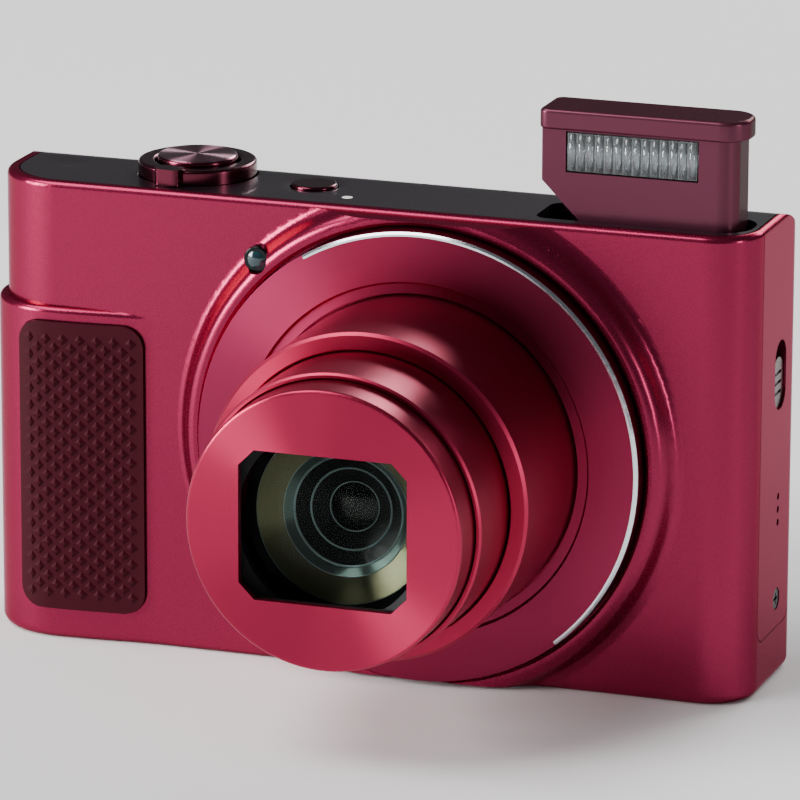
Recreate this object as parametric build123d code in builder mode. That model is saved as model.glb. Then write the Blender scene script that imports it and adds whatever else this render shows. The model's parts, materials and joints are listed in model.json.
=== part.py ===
from build123d import *
import os
from math import cos, radians, sin, sqrt

# Compact digital camera with a telescoping lens and a pop-up flash, in millimetres.
# The origin is the mouth of the tripod socket, in the base plane. The lens looks along -Y,
# the grip is at -X, the flash at +X, and +Z is up. The barrels are out and the flash is up.

# Case
CASE_LEFT = -47.5  # above the grip swelling
CASE_RIGHT = 48.3
FRONT = -11.5
REAR = 11.5
HEIGHT = 56.9
WALL = 1.1
FRONT_LEFT_R = 9.1
FRONT_RIGHT_R = 6.0
REAR_R = 5.0
TOP_EDGE_R = 0.8
BASE_EDGE_R = 1.2
ROLL_R = 10.0  # the top turns down to the back in one large round
SEAM_Y = 7.2  # front and rear covers meet here
SEAM = 0.1  # visible gap between covers
REACH = 120.0  # longer than the camera, for cuts that go right through
CUT = 1.0  # how far a cutting shape starts outside the face that it cuts
RUNNING_FIT = 0.15  # gap round a button, and beside the battery door
SCREW_FIT = 0.1  # gap round a screw's head

# Grip swelling
GRIP_LEFT = -48.3
GRIP_FRONT = -12.5
GRIP_TOP = 41.6
GRIP_FADE_X = -23.0
GRIP_FADE_DEPTH = 0.06  # the swelling starts just under the flat of the case
GRIP_EDGE_R = 0.75
PAD_CENTRE = (-34.92, 21.95)
PAD_WIDTH = 15.95
PAD_HEIGHT = 35.96
PAD_CORNER_R = 2.7
PAD_PROUD = 0.55
PAD_SUNK = 0.35

# Top plate
PLATE_LEFT = -45.8
PLATE_RIGHT = 47.3
PLATE_FRONT = -10.3
PLATE_LEFT_R = 7.6
PLATE_RIGHT_R = 4.6
PLATE_GAP = 0.12

# Side panel
PANEL_FRONT = -5.9
PANEL_BASE = 6.4
PANEL_X = 46.9
PANEL_CORNER_R = 2.0

AF_LAMP_AT = (-11.93, 50.03)
AF_LAMP_R = 1.6
AF_LAMP_FRONT = -13.5  # just proud of the rim's slope
AF_LAMP_REAR = -10.2

# Lens: radii about the lens axis, and places along Y
LENS_X = 9.03
LENS_Z = 28.3
RING_R = 27.45
RING_HOLE_R = 20.05
RING_FRONT = -16.5
RING_REAR = -11.6
OUTER_R = 19.7
OUTER_FRONT = -34.0
MIDDLE_R = 17.4
MIDDLE_FRONT = -43.8
INNER_R = 16.6
INNER_FRONT = -48.5
HOUSING_R = 21.3
HOUSING_BORE_R = 20.5
HOUSING_FRONT = -14.6
HOUSING_REAR = 4.0
BACK_PLATE = 0.8
WINDOW_WIDTH = 20.3
WINDOW_HEIGHT = 17.7
WINDOW_CUT = 1.9  # corner cuts of the opening in the front plate
GLASS_R = 12.1
SECOND_R = 12.2
SURROUND_ROOT_R = 27.75  # raised rim of the front cover round the lens ring
SURROUND_CREST_R = 28.6
SURROUND_CREST_Y = -14.55
SURROUND_FADE_R = 31.8
SURROUND_TRIM = 0.45  # the rim stops this far inside the top and the base
FLANGE_R = 24.5
SENSOR_HOLE_R = 5.5
BAFFLE_FRONT = -46.6
BAFFLE_REAR = -40.2
BAFFLE_LIP_R = 11.3
ACCENT_R = 27.0
ACCENT_START = 121.0  # degrees from +X, as seen from the front
ACCENT_SWEEP = 171.0

# Zoom drive
MODULE = 0.4
RING_TEETH = 113
PINION_TEETH = 12
PINION_ANGLE = -40.0
DRIVE_FRONT = 1.9
DRIVE_REAR = 3.6
ADDENDUM = 0.35
DEDENDUM = 0.5
SECTOR_FROM = -3
SECTOR_TO = 25
MOTOR_R = 3.4
MOTOR_FRONT = -9.0
MOTOR_LENGTH = 9.9
SHAFT_R = 0.5

# Lens barrier
BLADE_R = 15.7
BLADE_THICK = 0.3
BLADE_LOW = 8.95
BLADE_HIGH = 13.95
EAR_LOW = 7.7
EAR_LINE = 17.3

# Flash, raised
FLASH_LEFT = 21.7
FLASH_RIGHT = 45.2
FLASH_FRONT = -8.0
FLASH_REAR = -2.4
FLASH_TOP = 67.5
FLASH_BASE = 52.5
FLASH_CUT = 83.0  # x + z on the 45 degree cut that clears the lens
CAP_TOP = 69.9
CAP_LEFT = 21.3
CAP_RIGHT = 46.4
CAP_FRONT = -8.5
CAP_REAR = -1.2
CAP_LEFT_R = 1.2
CAP_RIGHT_R = 3.2
SLOT_GAP = 0.35
HEAD_CENTRE = (32.68, 64.85)  # middle of the flash window, X and Z
HEAD_WIDTH = 15.75
HEAD_HEIGHT = 4.5
SPRING_X = 41.0
SPRING_Y = -5.2
SPRING_R = 1.7
SPRING_WIRE_R = 0.18
SPRING_BASE = 34.0
SPRING_TURNS = 9
SPRING_POST_R = 0.8
CAPACITOR_AT = (38.5, -4.8)
CAPACITOR_R = 4.2
CAPACITOR_BASE = 5.5
CAPACITOR_LENGTH = 26.0

# Top controls
DIAL_X = -24.0
DIAL_Y = -1.1
LEVER_R = 7.15
LEVER_FLOOR = 56.2
STEM_R = 2.4
STEM_BASE = 53.4
DISH_R = 4.3
DISH_DEEP = 0.35
MARK_R = 3.1
MARK_DEEP = 0.14
POWER_R = 2.8
LAMP_R = 0.65
POWER_X = -8.7
POWER_Y = -2.2
MARK_X = -40.3
MARK_Y = -1.2
LAMP_X = -2.8
LAMP_Y = -7.0
MIC_Y = 3.0
MIC_XS = (3.5, 13.5)

SHUTTER_R = 4.85
SHUTTER_TOP = 59.3
LEVER_TOP = 58.7

# Back
SCREEN_LEFT = -21.0
SCREEN_RIGHT = 43.0
SCREEN_LOW = 3.0
SCREEN_HIGH = 46.2
PADDLE_X = -32.5
PADDLE_Z = 19.5
PADDLE_R = 9.6
SET_R = 4.8
BACK_LAMP = (-24.0, 42.0)

PLAYBACK_AT = (-38.5, 5.4)
MENU_AT = (-26.5, 5.4)
MOVIE_AT = (-26.5, 34.6)
SMALL_BUTTON_R = 2.3
MOVIE_BUTTON_R = 2.7
BUTTON_PROUD = 0.4
BUTTON_FLANGE_Y = 9.8  # flanges that keep the buttons in, behind the cover
BUTTON_FLANGE_THICK = 0.8

# Base and sides
SOCKET_BORE_R = 3.175
SOCKET_R = 4.2
SOCKET_DEPTH = 5.0
DOOR_LEFT = -45.0
DOOR_RIGHT = -13.6
DOOR_FRONT = -8.9
DOOR_HINGE_Y = 5.0
DOOR_HINGE_Z = 0.8
DOOR_CORNER_R = 4.5
DOOR_GAP = RUNNING_FIT
LUG = 1.0  # thickness of the case's lugs at both ends of the door's hinge
PIN_R = 0.35
FLAP_FRONT = 0.2
FLAP_REAR = 5.6
FLAP_LOW = 16.0
FLAP_HIGH = 40.0
KNUCKLE_X = -47.8  # the flap turns about this line
TRUNNION_R = 0.28
STRAP_Z = 48.0
SWITCH_Y = 2.0
SWITCH_Z = 37.55
SPEAKER_Z = 21.0
SPEAKER_Y = 1.2
SPEAKER_R = 4.0
PORT_Y = 3.25
PORT_X = -46.9
SCREW_HEAD_R = 1.25
SCREW_SHANK_R = 0.5
SCREW_HEAD = 0.6
SCREW_LENGTH = 2.8
RECESS_LONG = 1.5
RECESS_WIDE = 0.36
RECESS_DEEP = 0.35
BASE_SCREWS = ((18.0, -7.0), (40.0, -6.0), (-8.0, -6.6), (30.0, 4.0))
SIDE_SCREW_Z = 9.9
SIDE_SCREW_Y = 2.0

# Inside
CHASSIS_Y = 4.95
BOARD_Y = 6.15
BATTERY_X = -28.9
BATTERY_Y = -3.65
BATTERY_WIDTH = 29.0
BATTERY_DEPTH = 9.5
BATTERY_BASE = 2.4
BATTERY_LENGTH = 43.0
CARD_X = -28.0
FOOT_X = 16.5
FOOT_WIDTH = 55.0
FOOT_FRONT = -8.0

os.makedirs("parts", exist_ok=True)

LENS_AXIS = Axis((LENS_X, 0, LENS_Z), (0, 1, 0))
LENS_PLANE = Plane(origin=(LENS_X, 0, LENS_Z))  # its local x is the radius, its local y the row's Y


def front_plane(y):
    """A drawing plane that faces the front: local x is X, local y is Z."""
    return Plane.XZ.offset(-y)


def write(solid, name):
    """Label a finished piece and write its STEP file."""
    solid.part.label = name
    export_step(solid.part, f"parts/{name}.step")


def sag(radius, half_width):
    """How far a spherical face of this radius falls at half_width from its crown."""
    return radius - sqrt(radius**2 - half_width**2)


def case_block(inset):
    """The outer form of the case without the grip swelling, drawn in by inset on every side."""
    with BuildPart() as block:
        with BuildSketch(Plane.XY.offset(inset)):
            with BuildLine():
                FilletPolyline(
                    (CASE_LEFT + inset, FRONT + inset),
                    (CASE_RIGHT - inset, FRONT + inset),
                    (CASE_RIGHT - inset, REAR - inset),
                    (CASE_LEFT + inset, REAR - inset),
                    radius=[FRONT_LEFT_R - inset, FRONT_RIGHT_R - inset, REAR_R - inset, REAR_R - inset],
                    close=True,
                )
            make_face()
        extrude(amount=HEIGHT - 2 * inset)
        if inset == 0:
            fillet(block.faces().sort_by(Axis.Z)[-1].edges(), TOP_EDGE_R)
            fillet(block.faces().sort_by(Axis.Z)[0].edges(), BASE_EDGE_R)
        roll = ROLL_R - inset
        roll_y = REAR - ROLL_R
        roll_z = HEIGHT - ROLL_R
        with BuildSketch(Plane.YZ):
            with BuildLine():
                RadiusArc((roll_y, roll_z + roll), (roll_y + roll, roll_z), roll)
                Polyline(
                    (roll_y + roll, roll_z),
                    (REAR + ROLL_R, roll_z),
                    (REAR + ROLL_R, HEIGHT + ROLL_R),
                    (roll_y, HEIGHT + ROLL_R),
                    (roll_y, roll_z + roll),
                )
            make_face()
        extrude(amount=REACH, both=True, mode=Mode.SUBTRACT)
    return block.part


def swelling_block(inset):
    """The swelling round the grip: its front runs out smoothly into the flat of the case."""
    corner_x = GRIP_LEFT + FRONT_LEFT_R
    corner_y = GRIP_FRONT + FRONT_LEFT_R
    fade_y = FRONT + inset + GRIP_FADE_DEPTH
    with BuildPart() as block:
        with BuildSketch(Plane.XY.offset(inset)):
            with BuildLine():
                Spline(
                    (GRIP_FADE_X, fade_y),
                    (corner_x, GRIP_FRONT + inset),
                    tangents=((-1, 0), (-1, 0)),
                )
                TangentArc((corner_x, GRIP_FRONT + inset), (GRIP_LEFT + inset, corner_y), tangent=(-1, 0))
                Line((GRIP_LEFT + inset, corner_y), (GRIP_LEFT + inset, REAR - REAR_R))
                TangentArc(
                    (GRIP_LEFT + inset, REAR - REAR_R),
                    (GRIP_LEFT + REAR_R, REAR - inset),
                    tangent=(0, 1),
                )
                Line((GRIP_LEFT + REAR_R, REAR - inset), (GRIP_FADE_X, REAR - inset))
                Line((GRIP_FADE_X, REAR - inset), (GRIP_FADE_X, fade_y))
            make_face()
        extrude(amount=GRIP_TOP - 2 * inset)
        if inset == 0:
            fillet(block.faces().sort_by(Axis.Z)[-1].edges(), GRIP_EDGE_R)
            fillet(block.faces().sort_by(Axis.Z)[0].edges(), BASE_EDGE_R)
    return block.part


def pad_block(gap):
    """The grip pad's prism, grown by gap at its edges, from the floor of its recess forwards."""
    with BuildPart() as block:
        with BuildSketch(front_plane(GRIP_FRONT - 3)):
            with Locations(PAD_CENTRE):
                RectangleRounded(PAD_WIDTH + 2 * gap, PAD_HEIGHT + 2 * gap, PAD_CORNER_R + gap)
        extrude(amount=-8)
        add(swelling_block(PAD_SUNK), mode=Mode.SUBTRACT)
    return block.part


def plate_zone(gap):
    """The prism that the top plate is cut from, grown by gap."""
    with BuildPart() as zone:
        with BuildSketch(Plane.XY.offset(HEIGHT - ROLL_R)):
            with BuildLine():
                FilletPolyline(
                    (PLATE_LEFT - gap, PLATE_FRONT - gap),
                    (PLATE_RIGHT + gap, PLATE_FRONT - gap),
                    (PLATE_RIGHT + gap, SEAM_Y + gap),
                    (PLATE_LEFT - gap, SEAM_Y + gap),
                    radius=[PLATE_LEFT_R, PLATE_RIGHT_R, 0, 0],
                    close=True,
                )
            make_face()
        extrude(amount=2 * ROLL_R)
    return zone.part


def panel_zone(gap):
    """The block that the side panel is cut from, grown by gap."""
    with BuildPart() as zone:
        with BuildSketch(Plane.YZ.offset(PANEL_X - gap)):
            with BuildLine():
                FilletPolyline(
                    (PANEL_FRONT - gap, PANEL_BASE - gap),
                    (SEAM_Y + gap, PANEL_BASE - gap),
                    (SEAM_Y + gap, HEIGHT + WALL),
                    (PANEL_FRONT - gap, HEIGHT + WALL),
                    radius=[PANEL_CORNER_R, PANEL_CORNER_R, 0, 0],
                    close=True,
                )
            make_face()
        extrude(amount=2 * WALL)
    return zone.part


def door_prism(gap, low, high, rear):
    """The battery door's outline, grown by gap, from low to high and back to rear."""
    with BuildPart() as prism:
        with BuildSketch(Plane.XY.offset(low)):
            with BuildLine():
                FilletPolyline(
                    (DOOR_LEFT - gap, DOOR_FRONT - gap),
                    (DOOR_RIGHT + gap, DOOR_FRONT - gap),
                    (DOOR_RIGHT + gap, rear),
                    (DOOR_LEFT - gap, rear),
                    radius=[DOOR_CORNER_R, 1.0, 0, 0],
                    close=True,
                )
            make_face()
        extrude(amount=high - low)
    return prism.part


def cap_prism(gap, low, high):
    """The flash cap's outline seen from above, grown by gap."""
    with BuildPart() as prism:
        with BuildSketch(Plane.XY.offset(low)):
            with BuildLine():
                FilletPolyline(
                    (CAP_LEFT - gap, CAP_FRONT - gap),
                    (CAP_RIGHT + gap, CAP_FRONT - gap),
                    (CAP_RIGHT + gap, CAP_REAR + gap),
                    (CAP_LEFT - gap, CAP_REAR + gap),
                    radius=[CAP_LEFT_R + gap, CAP_RIGHT_R + gap, CAP_RIGHT_R + gap, CAP_LEFT_R + gap],
                    close=True,
                )
            make_face()
        extrude(amount=high - low)
    return prism.part


# The shell that the covers, the top plate and the side panel are all cut from

with BuildPart() as lens_surround:
    with BuildSketch(LENS_PLANE):
        with BuildLine():
            Polyline(
                (SURROUND_FADE_R, FRONT + 0.6),
                (SURROUND_ROOT_R, FRONT + 0.6),
                (SURROUND_ROOT_R, SURROUND_CREST_Y + 0.4),
                (SURROUND_ROOT_R + 0.4, SURROUND_CREST_Y + 0.05),
                (SURROUND_CREST_R, SURROUND_CREST_Y),
            )
            Spline(
                (SURROUND_CREST_R, SURROUND_CREST_Y),
                (SURROUND_FADE_R, FRONT - 0.02),
                tangents=((1, 0.12), (1, 0.12)),
            )
            Line((SURROUND_FADE_R, FRONT - 0.02), (SURROUND_FADE_R, FRONT + 0.6))
        make_face()
    revolve(axis=LENS_AXIS)
    with BuildSketch(front_plane(REAR)):
        with Locations((0, HEIGHT / 2)):
            Rectangle(REACH, HEIGHT - 2 * SURROUND_TRIM)
    extrude(amount=REACH, mode=Mode.INTERSECT)

with BuildPart() as shell:
    add(case_block(0))
    add(swelling_block(0))
    add(case_block(WALL), mode=Mode.SUBTRACT)
    add(swelling_block(WALL), mode=Mode.SUBTRACT)

with BuildPart() as front_cover:
    add(shell.part)
    split(bisect_by=Plane.XZ.offset(-SEAM_Y), keep=Keep.TOP)
    add(lens_surround.part)
    add(plate_zone(PLATE_GAP), mode=Mode.SUBTRACT)
    add(panel_zone(SEAM), mode=Mode.SUBTRACT)
    with BuildSketch(front_plane(FRONT - 5)):
        with Locations((LENS_X, LENS_Z)):
            Circle(HOUSING_R + 0.3)
    extrude(amount=-10, mode=Mode.SUBTRACT)
    with BuildSketch(front_plane(FRONT - 5)):
        with Locations(AF_LAMP_AT):
            Circle(AF_LAMP_R)
    extrude(amount=-10, mode=Mode.SUBTRACT)
    add(pad_block(0.1), mode=Mode.SUBTRACT)
    # base: tripod socket, battery door and its hinge, screws
    with BuildSketch(Plane.XY.offset(-1)):
        Circle(SOCKET_R + 0.05)
    extrude(amount=3, mode=Mode.SUBTRACT)
    add(door_prism(DOOR_GAP, -1, 2.5, DOOR_HINGE_Y + DOOR_HINGE_Z + DOOR_GAP), mode=Mode.SUBTRACT)
    for lug_x in (DOOR_LEFT - DOOR_GAP - LUG, DOOR_RIGHT + DOOR_GAP):
        with BuildSketch(Plane.YZ.offset(lug_x)):
            with Locations((DOOR_HINGE_Y, 1.1)):
                Rectangle(1.8, 1.7)
            with Locations((DOOR_HINGE_Y, DOOR_HINGE_Z)):
                Circle(PIN_R, mode=Mode.SUBTRACT)
        extrude(amount=LUG)
    with BuildSketch(Plane.YZ.offset(DOOR_LEFT - DOOR_GAP - LUG)):
        with Locations((DOOR_HINGE_Y, DOOR_HINGE_Z)):
            Circle(PIN_R)
    extrude(amount=DOOR_RIGHT - DOOR_LEFT + 2 * (DOOR_GAP + LUG), mode=Mode.SUBTRACT)
    for screw_x, screw_y in BASE_SCREWS:
        with BuildSketch(Plane.XY):
            with Locations((screw_x, screw_y)):
                Circle(SCREW_HEAD_R + SCREW_FIT)
        extrude(amount=SCREW_HEAD + SCREW_FIT, mode=Mode.SUBTRACT)
        with BuildSketch(Plane.XY):
            with Locations((screw_x, screw_y)):
                Circle(SCREW_SHANK_R)
        extrude(amount=2, mode=Mode.SUBTRACT)
    # grip side: opening for the socket flap, strap slot and a screw
    with BuildSketch(Plane.YZ.offset(GRIP_LEFT - 1)):
        with Locations(((FLAP_FRONT - 0.65 + FLAP_REAR + 0.15) / 2, (FLAP_LOW + FLAP_HIGH) / 2)):
            Rectangle(FLAP_REAR - FLAP_FRONT + 0.8, FLAP_HIGH - FLAP_LOW + 0.3)
        with Locations((0, STRAP_Z)):
            RectangleRounded(5.0, 8.4, 1.2)
    extrude(amount=3, mode=Mode.SUBTRACT)
    with BuildSketch(Plane.XY.offset(FLAP_LOW - 0.8)):
        with Locations((KNUCKLE_X, FLAP_FRONT)):
            Circle(TRUNNION_R + 0.06)
    extrude(amount=FLAP_HIGH - FLAP_LOW + 1.6, mode=Mode.SUBTRACT)
    with BuildSketch(Plane.YZ.offset(GRIP_LEFT)):
        with Locations((SIDE_SCREW_Y, SIDE_SCREW_Z)):
            Circle(SCREW_HEAD_R + SCREW_FIT)
    extrude(amount=SCREW_HEAD + SCREW_FIT, mode=Mode.SUBTRACT)
    with BuildSketch(Plane.YZ.offset(GRIP_LEFT)):
        with Locations((SIDE_SCREW_Y, SIDE_SCREW_Z)):
            Circle(SCREW_SHANK_R)
    extrude(amount=3, mode=Mode.SUBTRACT)
write(front_cover, "front_cover")

with BuildPart() as rear_cover:
    add(shell.part)
    split(bisect_by=Plane.XZ.offset(-SEAM_Y - SEAM), keep=Keep.BOTTOM)
    # opening for the screen
    with BuildSketch(front_plane(REAR + CUT)):
        with Locations(((SCREEN_LEFT + SCREEN_RIGHT) / 2, (SCREEN_LOW + SCREEN_HIGH) / 2)):
            RectangleRounded(SCREEN_RIGHT - SCREEN_LEFT + 0.3, SCREEN_HIGH - SCREEN_LOW + 0.3, 1.0)
    extrude(amount=4, mode=Mode.SUBTRACT)
    # holes for the paddle, the buttons and the lamp
    for (hole_x, hole_z), hole_r in (
        ((PADDLE_X, PADDLE_Z), PADDLE_R + 2 * RUNNING_FIT),
        (PLAYBACK_AT, SMALL_BUTTON_R + RUNNING_FIT),
        (MENU_AT, SMALL_BUTTON_R + RUNNING_FIT),
        (MOVIE_AT, MOVIE_BUTTON_R + RUNNING_FIT),
        (BACK_LAMP, LAMP_R),
    ):
        with BuildSketch(front_plane(REAR + CUT)):
            with Locations((hole_x, hole_z)):
                Circle(hole_r)
        extrude(amount=4, mode=Mode.SUBTRACT)
write(rear_cover, "rear_cover")

with BuildPart() as top_plate:
    add(shell.part)
    add(plate_zone(0), mode=Mode.INTERSECT)
    # boss and well for the zoom lever and shutter button
    with BuildSketch(Plane.XY.offset(54.6)):
        with Locations((DIAL_X, DIAL_Y)):
            Circle(LEVER_R + 0.9)
    extrude(amount=1.5)
    with BuildSketch(Plane.XY.offset(LEVER_FLOOR)):
        with Locations((DIAL_X, DIAL_Y)):
            Circle(LEVER_R + 0.25)
    extrude(amount=3, mode=Mode.SUBTRACT)
    with BuildSketch(Plane.XY.offset(HEIGHT - 5)):
        with Locations((DIAL_X, DIAL_Y)):
            Circle(STEM_R + 0.25)
        with Locations((POWER_X, POWER_Y)):
            Circle(POWER_R + RUNNING_FIT)
        with Locations((LAMP_X, LAMP_Y)):
            Circle(LAMP_R)
        with Locations(*[(mic_x, MIC_Y) for mic_x in MIC_XS]):
            Circle(0.4)
    extrude(amount=8, mode=Mode.SUBTRACT)
    # two shallow dishes: round the power button, and the plain touch mark at the grip end
    for dish_x, dish_y, dish_r, dish_deep in (
        (POWER_X, POWER_Y, DISH_R, DISH_DEEP),
        (MARK_X, MARK_Y, MARK_R, MARK_DEEP),
    ):
        dish_ball = (dish_r**2 + dish_deep**2) / (2 * dish_deep)
        with Locations((dish_x, dish_y, HEIGHT - dish_deep + dish_ball)):
            Sphere(dish_ball, mode=Mode.SUBTRACT)
    # flash slot, with a guide wall before and behind it
    with BuildSketch(Plane.XY.offset(50.0)):
        with Locations((34.0, CAP_FRONT - SLOT_GAP - 0.35), (34.0, CAP_REAR + SLOT_GAP + 0.35)):
            Rectangle(22.0, 0.6)
    extrude(amount=5.9)
    add(cap_prism(SLOT_GAP, 49.0, 60.0), mode=Mode.SUBTRACT)
write(top_plate, "top_plate")

with BuildPart() as side_panel:
    add(shell.part)
    add(panel_zone(0), mode=Mode.INTERSECT)
    add(plate_zone(PLATE_GAP), mode=Mode.SUBTRACT)
    with BuildSketch(Plane.YZ.offset(PANEL_X - 1)):
        with Locations((SWITCH_Y, SWITCH_Z)):
            SlotOverall(8.5, 4.7, rotation=90)
        with Locations(*[(SWITCH_Y, SPEAKER_Z + step) for step in (-1.6, 0, 1.6)]):
            Circle(0.45)
        with Locations((SIDE_SCREW_Y, SIDE_SCREW_Z)):
            Circle(SCREW_SHANK_R)
    extrude(amount=4, mode=Mode.SUBTRACT)
    with BuildSketch(Plane.YZ.offset(CASE_RIGHT - 0.7)):
        with Locations((SIDE_SCREW_Y, SIDE_SCREW_Z)):
            Circle(SCREW_HEAD_R + SCREW_FIT)
    extrude(amount=2, mode=Mode.SUBTRACT)
write(side_panel, "side_panel")

with BuildPart() as grip_pad:
    add(pad_block(0))
    add(swelling_block(-PAD_PROUD), mode=Mode.INTERSECT)
write(grip_pad, "grip_pad")

# Lens

with BuildPart() as lens_ring:
    with BuildSketch(LENS_PLANE):
        Polygon(
            (RING_HOLE_R, -14.7),
            (RING_HOLE_R, RING_FRONT + 0.4),
            (21.2, RING_FRONT + 0.4),
            (21.5, RING_FRONT),
            (ACCENT_R - 0.05, RING_FRONT),
            (ACCENT_R - 0.05, RING_FRONT + 0.55),
            (RING_R, RING_FRONT + 0.55),
            (RING_R, RING_REAR),
            (HOUSING_R + 0.3, RING_REAR),
            (HOUSING_R + 0.3, -14.7),
            align=None,
        )
    revolve(axis=LENS_AXIS)
write(lens_ring, "lens_ring")

with BuildPart() as ring_accent:
    accent_dir = (cos(radians(ACCENT_START)), 0, sin(radians(ACCENT_START)))
    accent_normal = (-sin(radians(ACCENT_START)), 0, cos(radians(ACCENT_START)))
    with BuildSketch(Plane(origin=(LENS_X, 0, LENS_Z), x_dir=accent_dir, z_dir=accent_normal)):
        Polygon(
            (ACCENT_R - 0.05, RING_FRONT + 0.55),
            (ACCENT_R - 0.05, RING_FRONT - 0.02),
            (ACCENT_R + 0.2, RING_FRONT - 0.02),
            (RING_R, RING_FRONT + 0.2),
            (RING_R, RING_FRONT + 0.55),
            align=None,
        )
    revolve(axis=LENS_AXIS, revolution_arc=ACCENT_SWEEP)
write(ring_accent, "ring_accent")

with BuildPart() as lens_housing:
    with BuildSketch(LENS_PLANE):
        Polygon(
            (HOUSING_BORE_R, HOUSING_FRONT),
            (HOUSING_R, HOUSING_FRONT),
            (HOUSING_R, FRONT + WALL + 0.05),
            (FLANGE_R, FRONT + WALL + 0.05),
            (FLANGE_R, FRONT + WALL + 0.85),
            (HOUSING_R, FRONT + WALL + 0.85),
            (HOUSING_R, HOUSING_REAR),
            (HOUSING_R + 1.0, HOUSING_REAR),
            (HOUSING_R + 1.0, HOUSING_REAR + BACK_PLATE),
            (SENSOR_HOLE_R, HOUSING_REAR + BACK_PLATE),
            (SENSOR_HOLE_R, HOUSING_REAR),
            (HOUSING_BORE_R, HOUSING_REAR),
            align=None,
        )
    revolve(axis=LENS_AXIS)
write(lens_housing, "lens_housing")

with BuildPart() as barrel_outer:
    with BuildSketch(LENS_PLANE):
        Polygon(
            (OUTER_R - 2.1, OUTER_FRONT + 1.2),
            (OUTER_R - 2.1, OUTER_FRONT + 0.15),
            (OUTER_R - 1.95, OUTER_FRONT),
            (OUTER_R - 0.35, OUTER_FRONT),
            (OUTER_R, OUTER_FRONT + 0.35),
            (OUTER_R, OUTER_FRONT + 19.5),
            (OUTER_R + 0.6, OUTER_FRONT + 19.5),
            (OUTER_R + 0.6, OUTER_FRONT + 20.4),
            (OUTER_R - 1.25, OUTER_FRONT + 20.4),
            (OUTER_R - 1.25, OUTER_FRONT + 1.2),
            align=None,
        )
    revolve(axis=LENS_AXIS)
write(barrel_outer, "barrel_outer")

with BuildPart() as barrel_middle:
    with BuildSketch(LENS_PLANE):
        Polygon(
            (INNER_R + 0.15, MIDDLE_FRONT + 0.12),
            (INNER_R + 0.25, MIDDLE_FRONT),
            (MIDDLE_R - 0.25, MIDDLE_FRONT),
            (MIDDLE_R, MIDDLE_FRONT + 0.25),
            (MIDDLE_R, MIDDLE_FRONT + 17.5),
            (MIDDLE_R + 0.8, MIDDLE_FRONT + 17.5),
            (MIDDLE_R + 0.8, MIDDLE_FRONT + 19.0),
            (SECOND_R, MIDDLE_FRONT + 19.0),
            (SECOND_R, MIDDLE_FRONT + 17.5),
            (INNER_R + 0.15, MIDDLE_FRONT + 17.5),
            align=None,
        )
    revolve(axis=LENS_AXIS)
write(barrel_middle, "barrel_middle")

with BuildPart() as barrel_inner:
    with BuildSketch(LENS_PLANE):
        Polygon(
            (INNER_R - 0.7, INNER_FRONT + 0.9),
            (INNER_R, INNER_FRONT + 0.9),
            (INNER_R, INNER_FRONT + 17.0),
            (INNER_R - 0.7, INNER_FRONT + 17.0),
            align=None,
        )
    revolve(axis=LENS_AXIS)
write(barrel_inner, "barrel_inner")

with BuildPart() as front_plate:
    with BuildSketch(front_plane(INNER_FRONT)):
        with Locations((LENS_X, LENS_Z)):
            Circle(INNER_R)
    extrude(amount=-0.9)
    fillet(front_plate.faces().sort_by(Axis.Y)[0].edges(), 0.45)
    with BuildSketch(front_plane(INNER_FRONT)) as opening:
        with Locations((LENS_X, LENS_Z)):
            Rectangle(WINDOW_WIDTH, WINDOW_HEIGHT)
        chamfer(opening.vertices(), WINDOW_CUT)
    extrude(amount=-0.9, mode=Mode.SUBTRACT)
write(front_plate, "front_plate")

with BuildPart() as lens_baffle:
    with BuildSketch(LENS_PLANE):
        Polygon(
            (BAFFLE_LIP_R, BAFFLE_FRONT + 0.85),
            (BAFFLE_LIP_R + 2.6, BAFFLE_FRONT),
            (INNER_R - 0.7, BAFFLE_FRONT),
            (INNER_R - 0.7, BAFFLE_REAR),
            (GLASS_R, BAFFLE_REAR),
            (GLASS_R, BAFFLE_FRONT + 1.1),
            (BAFFLE_LIP_R, BAFFLE_FRONT + 1.1),
            align=None,
        )
    revolve(axis=LENS_AXIS)
write(lens_baffle, "lens_baffle")

for lens_name, crown_y, lens_r, ball, rear_y in (
    ("front_lens", -45.2, GLASS_R, 36.0, -41.3),
    ("second_lens", -28.4, SECOND_R, 30.0, -25.6),
    ("rear_lens", 2.4, 6.4, 20.0, 4.0),
):
    rim_y = crown_y + sag(ball, lens_r)
    half_y = crown_y + sag(ball, lens_r / 2)
    with BuildPart() as lens:
        with BuildSketch(LENS_PLANE):
            with BuildLine():
                ThreePointArc((0, crown_y), (lens_r / 2, half_y), (lens_r, rim_y))
                Polyline((lens_r, rim_y), (lens_r, rear_y), (0, rear_y), (0, crown_y))
            make_face()
        revolve(axis=LENS_AXIS)
    write(lens, lens_name)

with BuildPart() as image_sensor:
    with BuildSketch(front_plane(HOUSING_REAR + BACK_PLATE + 0.05)):
        with Locations((LENS_X, LENS_Z)):
            RectangleRounded(12.4, 10.2, 0.5)
    extrude(amount=-1.2)
write(image_sensor, "image_sensor")

# Lens barrier: four thin blades that park above and below the opening

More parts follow.
